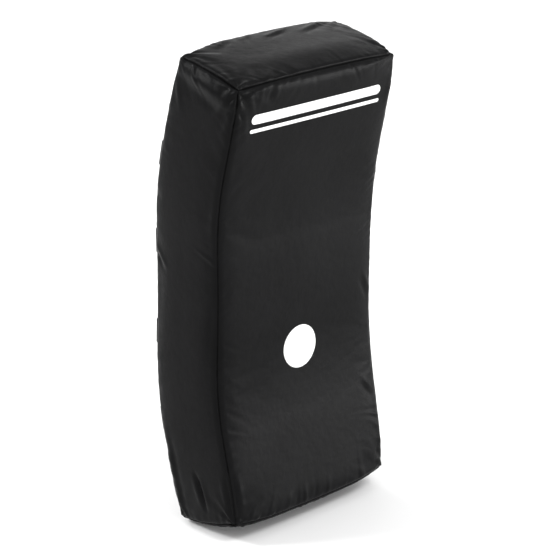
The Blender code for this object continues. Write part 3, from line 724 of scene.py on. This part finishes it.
# The cloth's rest, found by simulation
SETTLE_FRAMES = 20
SEWN_WITHIN = 0.5 * MM  # of a seam, where the cloth stays in place
FIRST_WRINKLES = 0.25 * MM
FIRST_SPANS = (9 * MM, 11 * MM)
SPARE_CLOTH = 0.06  # how much larger than its place the cloth is cut at a seam
SPARE_REACH = 55 * MM
SPARE_SPANS = (60 * MM, 70 * MM)  # over which the spare cloth comes and goes
FOAM_HOLD = 0.02  # how firmly the foam holds the cloth where it lies, from 0 to 1
OUT_CAP = 3.5 * MM
IN_CAP = 1.6 * MM
BESIDE_CAP = 2 * MM
CALM = 0.3  # how much of its folds a panel's tight middle keeps
FOLD_REACH = 35 * MM
BESIDE_BAND = 10 * MM  # from a band's edge to where the cloth is loose again
NYLON_CLOTH = {
    "quality": 6, "mass": 0.2, "tension_stiffness": 25, "compression_stiffness": 25, "shear_stiffness": 6,
    "bending_stiffness": 0.6, "air_damping": 4, "use_pressure": True, "uniform_pressure_force": 0.6,
    "vertex_group_mass": "held", "pin_stiffness": 1, "vertex_group_shrink": "spare", "shrink_min": 0,
    "shrink_max": -SPARE_CLOTH,
}


def simulated(points, faces, weights):
    """Where a cloth's points come to rest. weights holds a value for each point, under each group's name."""
    mesh = bpy.data.meshes.new("cloth_at_rest")
    mesh.from_pydata(points.tolist(), [], faces.tolist())
    obj = bpy.data.objects.new("cloth_at_rest", mesh)
    scene = bpy.context.scene
    scene.collection.objects.link(obj)
    for name, values in weights.items():
        group = obj.vertex_groups.new(name=name)
        for index, value in enumerate(values.tolist()):
            group.add([index], value, "REPLACE")
    cloth = obj.modifiers.new("cloth", "CLOTH")
    cloth.collision_settings.use_collision = False
    for key, value in NYLON_CLOTH.items():
        setattr(cloth.settings, key, value)
    cloth.settings.effector_weights.gravity = 0
    cloth.point_cache.frame_end = SETTLE_FRAMES
    for number in range(1, SETTLE_FRAMES + 1):
        scene.frame_set(number)
    settled = np.empty(len(points) * 3, np.float32)
    obj.evaluated_get(bpy.context.evaluated_depsgraph_get()).data.vertices.foreach_get("co", settled)
    scene.frame_set(1)
    bpy.data.objects.remove(obj)
    bpy.data.meshes.remove(mesh)
    return settled.reshape(-1, 3).astype(float)


def settle():
    """Lets the cover find its folds: cut large at its seams, sewn fast there and held loosely by the foam."""
    panels = list(PANELS.values())
    held, spare, points, faces = [], [], [], []
    start = 0
    for seed, panel in enumerate(panels):
        off = panel.seam()
        sewn = off < SEWN_WITHIN
        if panel is PANELS["back_panel"]:
            sewn |= under_bands(panel) < 0.5
        u, v = panel.cloth[..., 0], panel.cloth[..., 1]
        uneven = wander(u + 0.4 * v, SPARE_SPANS[0], seed + 40)
        uneven = uneven * wander(v - 0.3 * u, SPARE_SPANS[1], seed + 60)
        first = FIRST_WRINKLES * wander(u + 0.5 * v, FIRST_SPANS[0], seed + 20)
        first = first * wander(v - 0.5 * u, FIRST_SPANS[1], seed + 30)
        shape = panel.grid + grid_normals(panel.grid, panel.side) * first[..., None]
        points.append(np.where(sewn[..., None], panel.grid, shape).reshape(-1, 3))
        held.append(np.where(sewn, 1, FOAM_HOLD).ravel())
        spare.append((np.exp(-off / SPARE_REACH) * (0.6 + 0.4 * uneven)).ravel())
        faces.append(panel.faces() + start)
        start += off.size
    weights = {"held": np.concatenate(held), "spare": np.concatenate(spare)}
    settled = simulated(np.concatenate(points), np.concatenate(faces), weights)
    start = 0
    for panel in panels:
        size = panel.grid[..., 0].size
        normal = grid_normals(panel.grid, panel.side)
        moved = settled[start:start + size].reshape(panel.grid.shape) - panel.grid
        out = (moved * normal).sum(axis=-1, keepdims=True)
        capped = np.where(out > 0, OUT_CAP * np.tanh(out / OUT_CAP), IN_CAP * np.tanh(out / IN_CAP))
        beside = np.clip(moved - out * normal, -BESIDE_CAP, BESIDE_CAP)
        share = (CALM + (1 - CALM) * np.exp(-panel.seam() / FOLD_REACH))[..., None]
        panel.grid = panel.grid + (normal * capped + beside) * share
        start += size


def cover():
    settle()
    for seed, (name, panel) in enumerate(PANELS.items()):
        panel.refine()
        height = puckers(panel, 100 * seed) + fans(panel, 100 * seed + 50) + folds(panel, FOLDS.get(name, ()))
        if name == "back_panel":
            height = height * under_bands(panel)
        panel.press(height + groove(panel))
    sew(list(PANELS.values()))
    for name, panel in PANELS.items():
        if name == "back_panel":
            back(panel)
        else:
            sewn_cloth(name, panel.grid, panel.faces(), panel.cloth, panel.seam())


def sewn_cloth(name, points, faces, cloth, seam):
    """A panel of the cover, over the foam that fills it."""
    sheet = piece(name, points, faces, NYLON, cloth=cloth, seam=seam)
    thicken(sheet, COVER)


def under_bands(panel):
    """0 where a band is sewn over the back and 1 well away from it."""
    along = panel.cloth[..., 0]
    share = np.ones_like(along)
    for row_at in (ROW_AT, -ROW_AT):
        for side in (-1, 1):
            middle = to_middle(np.array(row_at + side * ROW_SPREAD), THICKNESS / 2)
            off = np.abs(along - middle) - BAND_HEIGHT / 2
            share = share * np.clip(off / BESIDE_BAND, 0, 1)
    return share


def back(panel):
    """Parts the back above and below the zip, round the window that the zip is sewn into."""
    faces = panel.faces()
    middles = panel.cloth.reshape(-1, 2)[faces].mean(axis=1)
    along, across = middles[:, 0], middles[:, 1]
    in_window = (along > WINDOW[0]) & (along < WINDOW[1]) & (np.abs(across) < ZIP_LENGTH / 2)
    for name, side in (("back_panel", 1), ("back_hem", -1)):
        chosen = faces[~in_window & (side * (along - ZIP_MIDDLE) > 0)]
        kept, renumbered = np.unique(chosen, return_inverse=True)
        points, cloth = panel.grid.reshape(-1, 3)[kept], panel.cloth.reshape(-1, 2)[kept]
        sewn_cloth(name, points, renumbered.reshape(-1, 4), cloth, panel.seam().ravel()[kept])


# The foam

FOAM_JOINTS = (FRONT_FOAM - THICKNESS, -BACK_FOAM)
FOAM_INSET = 6.5 * MM
FOAM_CELL = 20 * MM
FOAM_WAVES = 0.3 * MM


def foam_layers():
    layers = {
        "front_foam_layer": (-THICKNESS, FOAM_JOINTS[0], FIRM_FOAM, "firm_foam"),
        "core_foam_block": (*FOAM_JOINTS, SOFT_FOAM, "soft_foam"),
        "back_foam_layer": (FOAM_JOINTS[1], 0, FIRM_FOAM, "firm_foam"),
    }
    for seed, (name, (low, high, finish, slot)) in enumerate(layers.items()):
        low, high = max(low, FOAM_INSET - THICKNESS) + FIT, min(high, -FOAM_INSET) - FIT
        middle = (low + high) / 2
        bm = bmesh.new()
        bmesh.ops.create_cube(bm, size=1)
        size = (WIDTH - 2 * FOAM_INSET, high - low, LENGTH - 2 * FOAM_INSET)
        bmesh.ops.scale(bm, vec=size, verts=bm.verts)
        bmesh.ops.translate(bm, vec=(0, middle, 0), verts=bm.verts)
        for axis in (2, 0):
            steps = int((HALF[axis] - EDGE_ROUND) / FOAM_CELL)
            for step in range(-steps, steps + 1):
                cut(bm, axis, step * FOAM_CELL)
        corners = [edge for edge in bm.edges if edge.calc_face_angle(0) > 1 and not on_joint(edge)]
        rounded(bm, corners, EDGE_ROUND, segments=4, profile=0.5)
        points, faces = taken(bm)
        off_joint = np.abs(points[:, 1] - middle) < (high - low) / 2 - MM
        waves = FOAM_WAVES * wander(points[:, 0] + 2 * points[:, 2], 30 * MM, seed)
        points[:, 1] += waves * off_joint
        block = piece(name, bent(bowed(points)), faces, finish)


def on_joint(edge):
    """Whether an edge lies where two layers of foam meet."""
    return any(all(abs(vert.co.y - joint) < MM for vert in edge.verts) for joint in FOAM_JOINTS)


def cut(bm, axis, place):
    """Adds a line of edges all round, square to an axis."""
    point, normal = Vector((0, 0, 0)), Vector((0, 0, 0))
    point[axis], normal[axis] = place, 1
    geometry = bm.verts[:] + bm.edges[:] + bm.faces[:]
    bmesh.ops.bisect_plane(bm, geom=geometry, plane_co=point, plane_no=normal)


def rounded(bm, edges, offset, segments, profile, **how):
    shape = {"offset": offset, "offset_type": "OFFSET", "segments": segments, "profile": profile}
    bmesh.ops.bevel(bm, geom=edges, affect="EDGES", **shape, **how)


# The prints

PRINT_RISE = 0.4 * MM  # of a print's face over the cloth
PRINT_FILM = 0.25 * MM


def prints():
    dot("aiming_dot", DOT_DIAMETER, DOT_AT)
    stripe("mark_stripe_wide", WIDE_STRIPE, WIDE_STRIPE_AT)
    narrow_at = WIDE_STRIPE_AT - WIDE_STRIPE / 2 - NARROW_STRIPE_GAP - NARROW_STRIPE / 2
    stripe("mark_stripe_narrow", NARROW_STRIPE, narrow_at)


def laid_print(name, x, z, along, faces):
    """Lays a flat print of these places across and along on the strike face."""
    middle = to_middle(np.array(along + z), -THICKNESS / 2)
    points = PANELS["front_panel"].at(middle, x, PRINT_RISE)
    obj = piece(name, points, faces, PRINT_WHITE, cloth=np.stack((middle, x), axis=-1))
    thicken(obj, PRINT_FILM)


def dot(name, diameter, along):
    turns = np.linspace(0, 2 * math.pi, 96, endpoint=False)
    radii = np.linspace(0, diameter / 2, 13)[1:]
    x = np.concatenate(([0], (radii[:, None] * np.cos(turns)).ravel()))
    z = np.concatenate(([0], (radii[:, None] * np.sin(turns)).ravel()))
    count = len(turns)
    faces = [(0, 1 + turn, 1 + (turn + 1) % count) for turn in range(count)]
    faces += [tuple(1 + corner for corner in face[::-1]) for face in quads(len(radii), count, ring=True)]
    laid_print(name, x, z, along, faces)


def stripe(name, height, along):
    """A bar with round ends."""
    straight = (STRIPE_LENGTH - height) / 2
    turns = np.linspace(0, 0.98 * math.pi / 2, 16)[1:]
    end = np.stack((straight + height / 2 * np.sin(turns), height / 2 * np.cos(turns)))
    middle = np.linspace(-straight, straight, 81)
    x = np.concatenate((-end[0, ::-1], middle, end[0]))
    half = np.concatenate((end[1, ::-1], np.full(len(middle), height / 2), end[1]))
    across = np.linspace(-1, 1, 7)
    z = across[:, None] * half
    laid_print(name, (x + 0 * z).ravel(), z.ravel(), along, quads(*z.shape))


# The webbing

WEBBING_CELL = 3 * MM
BAND_TUCK = 7 * MM  # the length over which a band's end goes down into the seam
BAND_SHORT = 0.4 * MM  # of the seam
BAND_MARGIN = 3.5 * MM
FOOT_MARGIN = 3.5 * MM
HEM = 0.06  # how far short of the flap's end its last stitches turn, in radians
HEM_MARGIN = 1 * MM
STITCH = 2.6 * MM
STITCH_PITCH = 3.3 * MM
STITCH_RADIUS = 0.32 * MM
STITCH_PROFILE = ((-0.5, 0.3, -0.5), (-0.34, 0.95, 0.25), (0, 1, 0.45), (0.34, 0.95, 0.25), (0.5, 0.3, -0.5))


def lengths_to(path):
    """How far along a path each of its points lies."""
    return np.concatenate(([0], np.cumsum(np.linalg.norm(np.diff(path, axis=0), axis=1))))


def evenly(path, spacing=2 * MM):
    """The same path with its points this far apart."""
    path = np.array(path)
    so_far = lengths_to(path)
    places = np.linspace(0, so_far[-1], max(round(so_far[-1] / spacing), 1) + 1)
    return np.stack([np.interp(places, so_far, path[:, axis]) for axis in range(path.shape[1])], axis=1)


def arc(centre, radius, start, end):
    """Points on an arc in places along a row and heights, where angles run from along it towards up."""
    angles = np.linspace(start, end, 2 + round(abs(end - start) * radius / MM))
    return [(centre[0] + radius * math.cos(angle), centre[1] + radius * math.sin(angle)) for angle in angles]


def filleted(corners, radius):
    """A path through corners, each rounded by the same radius."""
    corners = [Vector(corner) for corner in corners]
    path = [corners[0]]
    for before, corner, after in zip(corners, corners[1:], corners[2:]):
        back, ahead = (before - corner).normalized(), (after - corner).normalized()
        half_angle = back.angle(ahead) / 2
        centre = corner + (back + ahead).normalized() * radius / math.sin(half_angle)
        first = corner + back * radius / math.tan(half_angle) - centre
        start = math.atan2(first.y, first.x)
        turn = math.copysign(math.pi - 2 * half_angle, back.cross(ahead))
        path += arc(centre, radius, start, start - turn)
    return path + [corners[-1]]


def square_to(path):
    """The direction square to a path at each of its points, to its left."""
    along = np.gradient(path, axis=0)
    along = along / np.linalg.norm(along, axis=1, keepdims=True)
    return np.stack((-along[:, 1], along[:, 0]), axis=1)


def section(width, thickness):
    """Webbing cut across: its flat sides and its two rounded edges, as places across and heights."""
    flat = width / 2 - thickness / 2
    across = np.linspace(-flat, flat, max(round(width / WEBBING_CELL), 4))
    turns = np.linspace(math.pi / 2, -math.pi / 2, 5)[1:-1]
    edge = np.stack((flat + thickness / 2 * np.cos(turns), thickness / 2 * np.sin(turns)), axis=1)
    top = np.stack((across, np.full_like(across, thickness / 2)), axis=1)
    return np.concatenate((top, edge, -top, -edge))


def swept(name, path, width, thickness, put, finish, body="pad"):
    """A strip of webbing along a path. put places each (place along, place across, height off the path)."""
    ring = section(width, thickness)
    index, across, height = np.broadcast_arrays(np.arange(len(path))[:, None], ring[:, 0], ring[:, 1])
    cloth = np.stack((across, lengths_to(path)[index]), axis=-1)
    obj = piece(name, put(path, index, across, height), tube(*index.shape), finish, body, cloth=cloth)
    face_out(obj.data)


def strap(name, path, width, put, lines, body="pad"):
    """A strip of the pad's own webbing, with its stitches."""
    swept(name, evenly(path), width, WEBBING, put, WEB, body)
    stitched(name + "_stitches", lines, body)


def face_out(mesh):
    bm = bmesh.new()
    bm.from_mesh(mesh)
    bmesh.ops.recalc_face_normals(bm, faces=bm.faces)
    if bm.calc_volume(signed=True) < 0:
        bmesh.ops.reverse_faces(bm, faces=bm.faces)
    bm.to_mesh(mesh)
    bm.free()


def in_row(row_at, x):
    """Places a strip whose path runs along a row of fittings and up off the back."""

    def put(path, index, across, height):
        side = square_to(path)
        along = path[index, 0] + side[index, 0] * height
        up = path[index, 1] + side[index, 1] * height
        return on_back(np.stack((x + across, up, row_at + along), axis=-1))

    return put


def round_the_back(middle):
    """Places a band that runs across the back and turns round its edges to the seams."""
    flat_end = WIDTH / 2 - EDGE_ROUND

    def put(path, index, across, height):
        along = path[index, 0]
        turn = np.clip((np.abs(along) - flat_end) / EDGE_ROUND, 0, None)
        tucked = np.clip((turn - math.pi / 4) * EDGE_ROUND / BAND_TUCK + 1, 0, 1) ** 2
        rise = EDGE_ROUND + BAND_RISE - WEBBING / 2 + height - (BAND_RISE + SEAM_DEPTH + MM) * tucked
        x = np.copysign(np.minimum(np.abs(along), flat_end) + rise * np.sin(turn), along)
        y = rise * np.cos(turn) - EDGE_ROUND
        z = to_middle(middle + across, THICKNESS / 2)
        flat = np.stack((x, y, z), axis=-1)
        return bent(swollen(flat, inset=-BAND_RISE))

    return put


def stitched(name, lines, body="pad"):
    """Runs of stitches along lines of points, each with the direction that is up off the webbing there."""
    turns = np.linspace(0, 2 * math.pi, 6, endpoint=False)
    shape = np.array([
        (STITCH * place, STITCH_RADIUS * girth * across, STITCH_RADIUS * (lift + girth * up))
        for place, girth, lift in STITCH_PROFILE for across, up in zip(np.cos(turns), np.sin(turns))])
    rings = tube(len(STITCH_PROFILE), len(turns))
    points, faces = [], []
    for line, ups in lines:
        joined = evenly(np.concatenate((line, ups), axis=1), STITCH_PITCH)
        middles = (joined[1:] + joined[:-1]) / 2
        along = np.diff(joined[:, :3], axis=0)
        along = along / np.linalg.norm(along, axis=1, keepdims=True)
        up = middles[:, 3:] / np.linalg.norm(middles[:, 3:], axis=1, keepdims=True)
        across = np.cross(up, along)
        for centre, ahead, beside, above in zip(middles[:, :3], along, across, up):
            start = len(points) * len(shape)
            points.append(centre + shape @ np.array((ahead, beside, above)))
            faces += [tuple(start + corner for corner in face) for face in rings]
    piece(name, np.array(points), faces, THREAD, body, sharp=80)


def stitch_line(put, corners, height):
    """A line of stitches through corners, each a place across and along, over what put places."""
    path = evenly(corners)
    low, high = (put(path, height + rise) for rise in (0, MM))
    return low, high - low


def strip_line(put, path, index, across, height, out=1):
    """A line of stitches on a strip, at these points of its path, on its outer side or its inner one."""
    low, high = (put(path, index, across, np.full(len(across), out * (height + rise))) for rise in (0, MM))
    return low, high - low


def edge_lines(put, path, width, height, out=1):
    """Two lines of stitches along a strip, this far apart."""
    index = np.arange(len(path))
    sides = (np.full(len(path), side * width / 2) for side in (-1, 1))
    return [strip_line(put, path, index, across, height, out) for across in sides]


def box_and_cross(put, x, width, low, high, height):
    """The stitching that holds a foot: a box with both its diagonals."""
    corners = [(x - width / 2, low), (x + width / 2, low), (x + width / 2, high), (x - width / 2, high)]
    lines = [corners + corners[:1], (corners[0], corners[2]), (corners[1], corners[3])]
    return [stitch_line(put, line, height) for line in lines]


def bands():
    end = WIDTH / 2 - EDGE_ROUND + EDGE_ROUND * math.pi / 4 - BAND_SHORT
    path = evenly([(-end, 0), (end, 0)])
    for row, row_at in (("upper", ROW_AT), ("lower", -ROW_AT)):
        for band, side in (("upper", 1), ("lower", -1)):
            put = round_the_back(row_at + side * ROW_SPREAD)
            lines = edge_lines(put, path, BAND_HEIGHT - 2 * BAND_MARGIN, WEBBING / 2)
            strap(f"{row}_row_{band}_band", path, BAND_HEIGHT, put, lines)


def over_row(row_at):
    """Places stitches over a row, at a place across, a place along and a height."""

    def put(path, height):
        return on_back(np.stack((path[:, 0], np.full(len(path), height), row_at + path[:, 1]), axis=-1))

    return put


def arm_strap(row, row_at, x):
    """The strap over the forearm, sewn at one foot, and the flap that closes over it from the other."""
    put, over = in_row(row_at, x), over_row(row_at)
    centre, turn_height = (0, ARCH_BASE), FOOT_LEVEL + TURN_RADIUS
    quarter = math.pi / 2
    rise = ARCH_RADIUS + TURN_RADIUS
    top = FOOT_LEVEL + WEBBING / 2
    inner = STRAP_WIDTH - 2 * FOOT_MARGIN

    path = [(-FOOT_END, FOOT_LEVEL)] + arc((-rise, turn_height), TURN_RADIUS, -quarter, 0)
    path += arc(centre, ARCH_RADIUS, math.pi, STRAP_END)
    lines = box_and_cross(over, x, inner, -FOOT_END + FOOT_MARGIN, -rise - FOOT_MARGIN, top)
    strap(f"{row}_arm_strap", path, STRAP_WIDTH, put, lines)

    start = FLAP_HINGE_AT + WEBBING / 2 + FIT
    lines = box_and_cross(over, x, inner, start + FOOT_MARGIN, FOOT_END - FOOT_MARGIN, top)
    strap(f"{row}_arm_strap_anchor", [(start, FOOT_LEVEL), (FOOT_END, FOOT_LEVEL)], STRAP_WIDTH, put, lines)

    flap, lap = f"{row}_flap", ARCH_RADIUS + LAP
    path = arc((FLAP_HINGE_AT, turn_height), TURN_RADIUS, -quarter, -2 * quarter)
    path += arc(centre, lap, 0, FLAP_END)
    outer = evenly(arc(centre, lap, PAD_FROM, PAD_TO))
    lines = edge_lines(put, outer, PAD_WIDTH - 2 * FIT, WEBBING / 2, out=-1)
    hem = np.array(arc(centre, lap, FLAP_END - HEM, FLAP_END))
    across = np.linspace(HEM_MARGIN - STRAP_WIDTH / 2, STRAP_WIDTH / 2 - HEM_MARGIN, 20)
    lines.append(strip_line(put, hem, np.zeros(len(across), int), across, WEBBING / 2))
    strap(f"{row}_arm_strap_flap", path, STRAP_WIDTH, put, lines, flap)

    loop_radius = ARCH_RADIUS + WEBBING / 2 + FIT + PAD_THICKNESS / 2
    hook_radius = loop_radius + PAD_THICKNESS + FIT
    pads = (("loop", loop_radius, LOOPS, "pad"), ("hook", hook_radius, HOOKS, flap))
    for kind, radius, finish, body in pads:
        path = evenly(arc(centre, radius, PAD_FROM, PAD_TO), MM)
        swept(f"{row}_{kind}_pad", path, PAD_WIDTH, PAD_THICKNESS, put, finish, body)


def grip(row, row_at, x):
    half = [(-FOOT_END, FOOT_LEVEL), (-GRIP_RISE_AT, FOOT_LEVEL), (-GRIP_REACH, GRIP_HEIGHT)]
    path = filleted(half + [(-along, height) for along, height in half[::-1]], TURN_RADIUS)
    inner, top = GRIP_WEBBING_WIDTH - 2 * FOOT_MARGIN, FOOT_LEVEL + WEBBING / 2
    lines = []
    for side in (-1, 1):
        low, high = sorted((side * (FOOT_END - FOOT_MARGIN), side * (GRIP_RISE_AT + TURN_RADIUS)))
        lines += box_and_cross(over_row(row_at), x, inner, low, high, top)
    strap(f"{row}_grip_strap", path, GRIP_WEBBING_WIDTH, in_row(row_at, x), lines)
    grip_sleeve(f"{row}_grip_sleeve", row_at, x)


RIB_PITCH = 6.2 * MM
RIB_DEPTH = 1.3 * MM
RIBS_END = 9 * MM  # from each end of the sleeve to its first groove
SLEEVE_LIP = 1.5 * MM
SLEEVE_TURNS = 48


def grip_sleeve(name, row_at, x):
    """A moulded rubber tube with rounded ribs round it and a plain collar at each end."""
    end = SLEEVE_LENGTH / 2
    outer, bore = SLEEVE_DIAMETER / 2, SLEEVE_BORE / 2
    along = np.linspace(-end, end, 190)
    ribbed = np.clip((end - RIBS_END - np.abs(along)) / MM, 0, 1)
    wave = np.abs(np.cos(math.pi * along / RIB_PITCH)) ** 0.5
    lip = np.minimum((end - np.abs(along)) / SLEEVE_LIP, 1)
    radius = outer - RIB_DEPTH * ribbed * (1 - wave) - SLEEVE_LIP * (1 - np.sqrt(1 - (1 - lip) ** 2))
    inside = np.linspace(end, -end, 12)
    places = np.concatenate((along, inside))[:, None]
    radii = np.concatenate((radius, np.full(len(inside), bore)))[:, None]
    turns = np.linspace(0, 2 * math.pi, SLEEVE_TURNS, endpoint=False)
    round_bar = (x + radii * np.cos(turns), GRIP_HEIGHT + radii * np.sin(turns), row_at + places + 0 * turns)
    faces = quads(len(places) + 1, len(turns), ring=True) % (len(places) * len(turns))
    obj = piece(name, on_back(np.stack(round_bar, axis=-1)), faces, RUBBER)
    face_out(obj.data)


def rows():
    for row, row_at, side in (("upper", ROW_AT, 1), ("lower", -ROW_AT, -1)):
        arm_strap(row, row_at, -side * STRAP_X)
        grip(row, row_at, side * GRIP_X)


# The zip

TAPE_UNDER = 2.5 * MM  # how far the tape runs on under the cover's edge
TAPE_LEVEL = -0.35 * MM
TAPE_WAVES = 0.12 * MM
TOOTH_ROUND = 0.35 * MM
TOOTH_STEM = 1.6 * MM
TOOTH_NECK_AT = 0.1 * MM
TOOTH_TIP = 0.9 * MM
SPINE_SECTION = ((0, -0.9), (0, 0.2), (0.3, 0.5), (0.8, 0.5), (1.1, 0.2), (1.1, -0.9))  # in mm
STITCHED_ROUND = 3 * MM  # from the zip's window to the stitches round it
STITCHES_UP = 0.1 * MM
STOP_ROUND = 0.25 * MM
TAB_ROUND = 0.3 * MM


def on_zip(points):
    """Places points given as x, across the zip and height over the back."""
    return on_back(np.stack((points[..., 0], points[..., 2], ZIP_AT + points[..., 1]), axis=-1))


def zip_tapes():
    x = np.linspace(-ZIP_LENGTH / 2, ZIP_LENGTH / 2, 160)[:, None]
    for name, side in (("zip_upper_tape", 1), ("zip_lower_tape", -1)):
        across = side * np.linspace(ZIP_CHAIN / 2, ZIP_CHAIN / 2 + ZIP_TAPE + TAPE_UNDER, 14)
        under = np.clip((np.abs(across) - ZIP_CHAIN / 2 - ZIP_TAPE + MM) / (2 * MM), 0, 1)
        level = TAPE_LEVEL - (COVER + FIT) * under + TAPE_WAVES * wander(x + 3 * across, 14 * MM, 5)
        points = np.stack(np.broadcast_arrays(x, across, level), axis=-1)
        faces = quads(*level.shape)[:, ::side]
        tape = piece(name, on_zip(points), faces, TAPE, cloth=points[..., 1::-1])
        thicken(tape, COVER - FIT)


def tooth(side):
    """One tooth: a stem out of the spine with a wider head, its edges rounded."""
    root, tip = side * (ZIP_CHAIN / 2 - ZIP_SPINE / 2), -side * (ZIP_CHAIN / 2 - ZIP_SPINE - FIT)
    head = ZIP_PITCH / 4 - FIT / 2
    outline = [
        (head, root), (head, root - side * TOOTH_STEM), (head * 0.7, side * TOOTH_NECK_AT),
        (head, tip + side * TOOTH_TIP), (head * 0.75, tip),
    ]
    outline += [(-x, across) for x, across in outline[::-1]]
    bm = bmesh.new()
    face = bm.faces.new([bm.verts.new((x, across, TEETH_PROUD)) for x, across in outline])
    made = bmesh.ops.extrude_face_region(bm, geom=[face])
    lower = [item for item in made["geom"] if isinstance(item, bmesh.types.BMVert)]
    bmesh.ops.translate(bm, vec=(0, 0, -COVER - TEETH_PROUD), verts=lower)
    rounded(bm, bm.edges[:], TOOTH_ROUND, segments=2, profile=0.6, clamp_overlap=True)
    return taken(bm)


def zip_teeth():
    count = int(ZIP_TEETH_LENGTH / ZIP_PITCH)
    spine = np.linspace(-ZIP_TEETH_LENGTH / 2, ZIP_TEETH_LENGTH / 2, 160)
    for name, side in (("zip_upper_teeth", 1), ("zip_lower_teeth", -1)):
        shape, shape_faces = tooth(side)
        first = -count * ZIP_PITCH / 2 + ZIP_PITCH * (2 - side) / 4
        points, faces = [], []
        for number in range(count):
            faces += [[corner + len(shape) * number for corner in face] for face in shape_faces]
            points.append(shape + np.array((first + number * ZIP_PITCH, 0, 0)))
        inward, height = np.array(SPINE_SECTION).T * MM
        cord = np.stack(np.broadcast_arrays(spine[:, None], side * (ZIP_CHAIN / 2 - inward), height), axis=-1)
        start = len(shape) * count
        faces += [[corner + start for corner in face] for face in tube(*cord.shape[:2])]
        points = np.concatenate((*points, cord.reshape(-1, 3)))
        obj = piece(name, on_zip(points), faces, ZIP_PLASTIC)
        face_out(obj.data)


def finish_node(name, finish, rounding):
    """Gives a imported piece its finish, and rounds its edges."""
    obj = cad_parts[name]
    obj.data.materials.clear()
    obj.data.materials.append(finish)
    edges = obj.modifiers.new("rounding", "BEVEL")
    edges.width = rounding
    edges.segments = 3
    edges.limit_method = "ANGLE"
    edges.angle_limit = math.radians(35)
    edges.harden_normals = True


def zip_stitches():
    half = ZIP_LENGTH / 2 + STITCHED_ROUND
    reach = ZIP_CHAIN / 2 + ZIP_TAPE + STITCHED_ROUND
    corners = [(-half, -reach), (half, -reach), (half, reach), (-half, reach), (-half, -reach)]
    sides = zip(corners, corners[1:])
    stitched("zip_stitches", [stitch_line(over_row(ZIP_AT), side, STITCHES_UP) for side in sides])


def zip_fastener():
    zip_tapes()
    zip_teeth()
    zip_stitches()
    for name in ("zip_left_stop", "zip_right_stop", "zip_slider"):
        finish_node(name, ZIP_METAL, STOP_ROUND)
    finish_node("zip_pull_tab", ZIP_METAL, TAB_ROUND)


# The stage


def stage():
    lowest = cad_box[0].z
    bpy.ops.mesh.primitive_circle_add(vertices=128, radius=30, fill_type="NGON", location=(0, 0, lowest))
    floor = bpy.context.object
    floor.name = "floor"
    made, tree = material("floor_paint", 0.8, specular=0.1)
    grain = specks(tree, body_place(tree), 3)
    colour = blend_colours(tree, grain, (0.91, 0.91, 0.91), (0.93, 0.93, 0.93))
    floor.data.materials.append(finished(made, colour))


def light(name, place, target, size, power):
    data = bpy.data.lights.new(name, "AREA")
    data.shape = "RECTANGLE"
    data.size, data.size_y = size
    data.energy = power
    obj = bpy.data.objects.new(name, data)
    bpy.context.scene.collection.objects.link(obj)
    obj.location = place
    obj.rotation_euler = (Vector(target) - Vector(place)).to_track_quat("-Z", "Y").to_euler()


def lights():
    world = bpy.data.worlds.new("studio")
    bpy.context.scene.world = world
    world.use_nodes = True
    sky = world.node_tree.nodes["Background"]
    sky.inputs["Color"].default_value = (1, 1, 1, 1)
    sky.inputs["Strength"].default_value = 0.9
    light("back_left_softbox", (-2.8, 2.4, 2.9), (0, 0, 0.3), (0.95, 0.95), 125)
    light("back_right_softbox", (3.0, 3.0, 1.8), (0, 0, 0.3), (1.6, 1.6), 10)
    light("back_softbox", (0.3, 4.2, 1.8), (0, 0, 0.2), (2.0, 1.4), 70)
    light("low_front_softbox", (3.0, -3.0, 0.0), (0, 0, -0.2), (2.1, 0.9), 110)
    light("high_front_softbox", (0.0, -2.89, 3.75), (0, 0, 0.3), (1.6, 1.6), 88)
    bpy.context.scene.view_settings.view_transform = "Standard"


def camera():
    data = bpy.data.cameras.new("camera")
    data.sensor_width = CAMERA_SENSOR
    data.lens = CAMERA_LENS
    obj = bpy.data.objects.new("camera", data)
    bpy.context.scene.collection.objects.link(obj)
    turn = Euler((math.pi / 2 - CAMERA_ELEVATION, 0, CAMERA_AZIMUTH)).to_matrix()
    turn = turn @ Matrix.Rotation(CAMERA_ROLL, 3, "Z")
    place = Vector(CENTRE) + turn @ Vector((CAMERA_RIGHT, CAMERA_UP, CAMERA_DISTANCE))
    obj.matrix_world = Matrix.Translation(place) @ turn.to_4x4()
    bpy.context.scene.camera = obj


cover()
foam_layers()
prints()
bands()
rows()
zip_fastener()
stage()
lights()
camera()
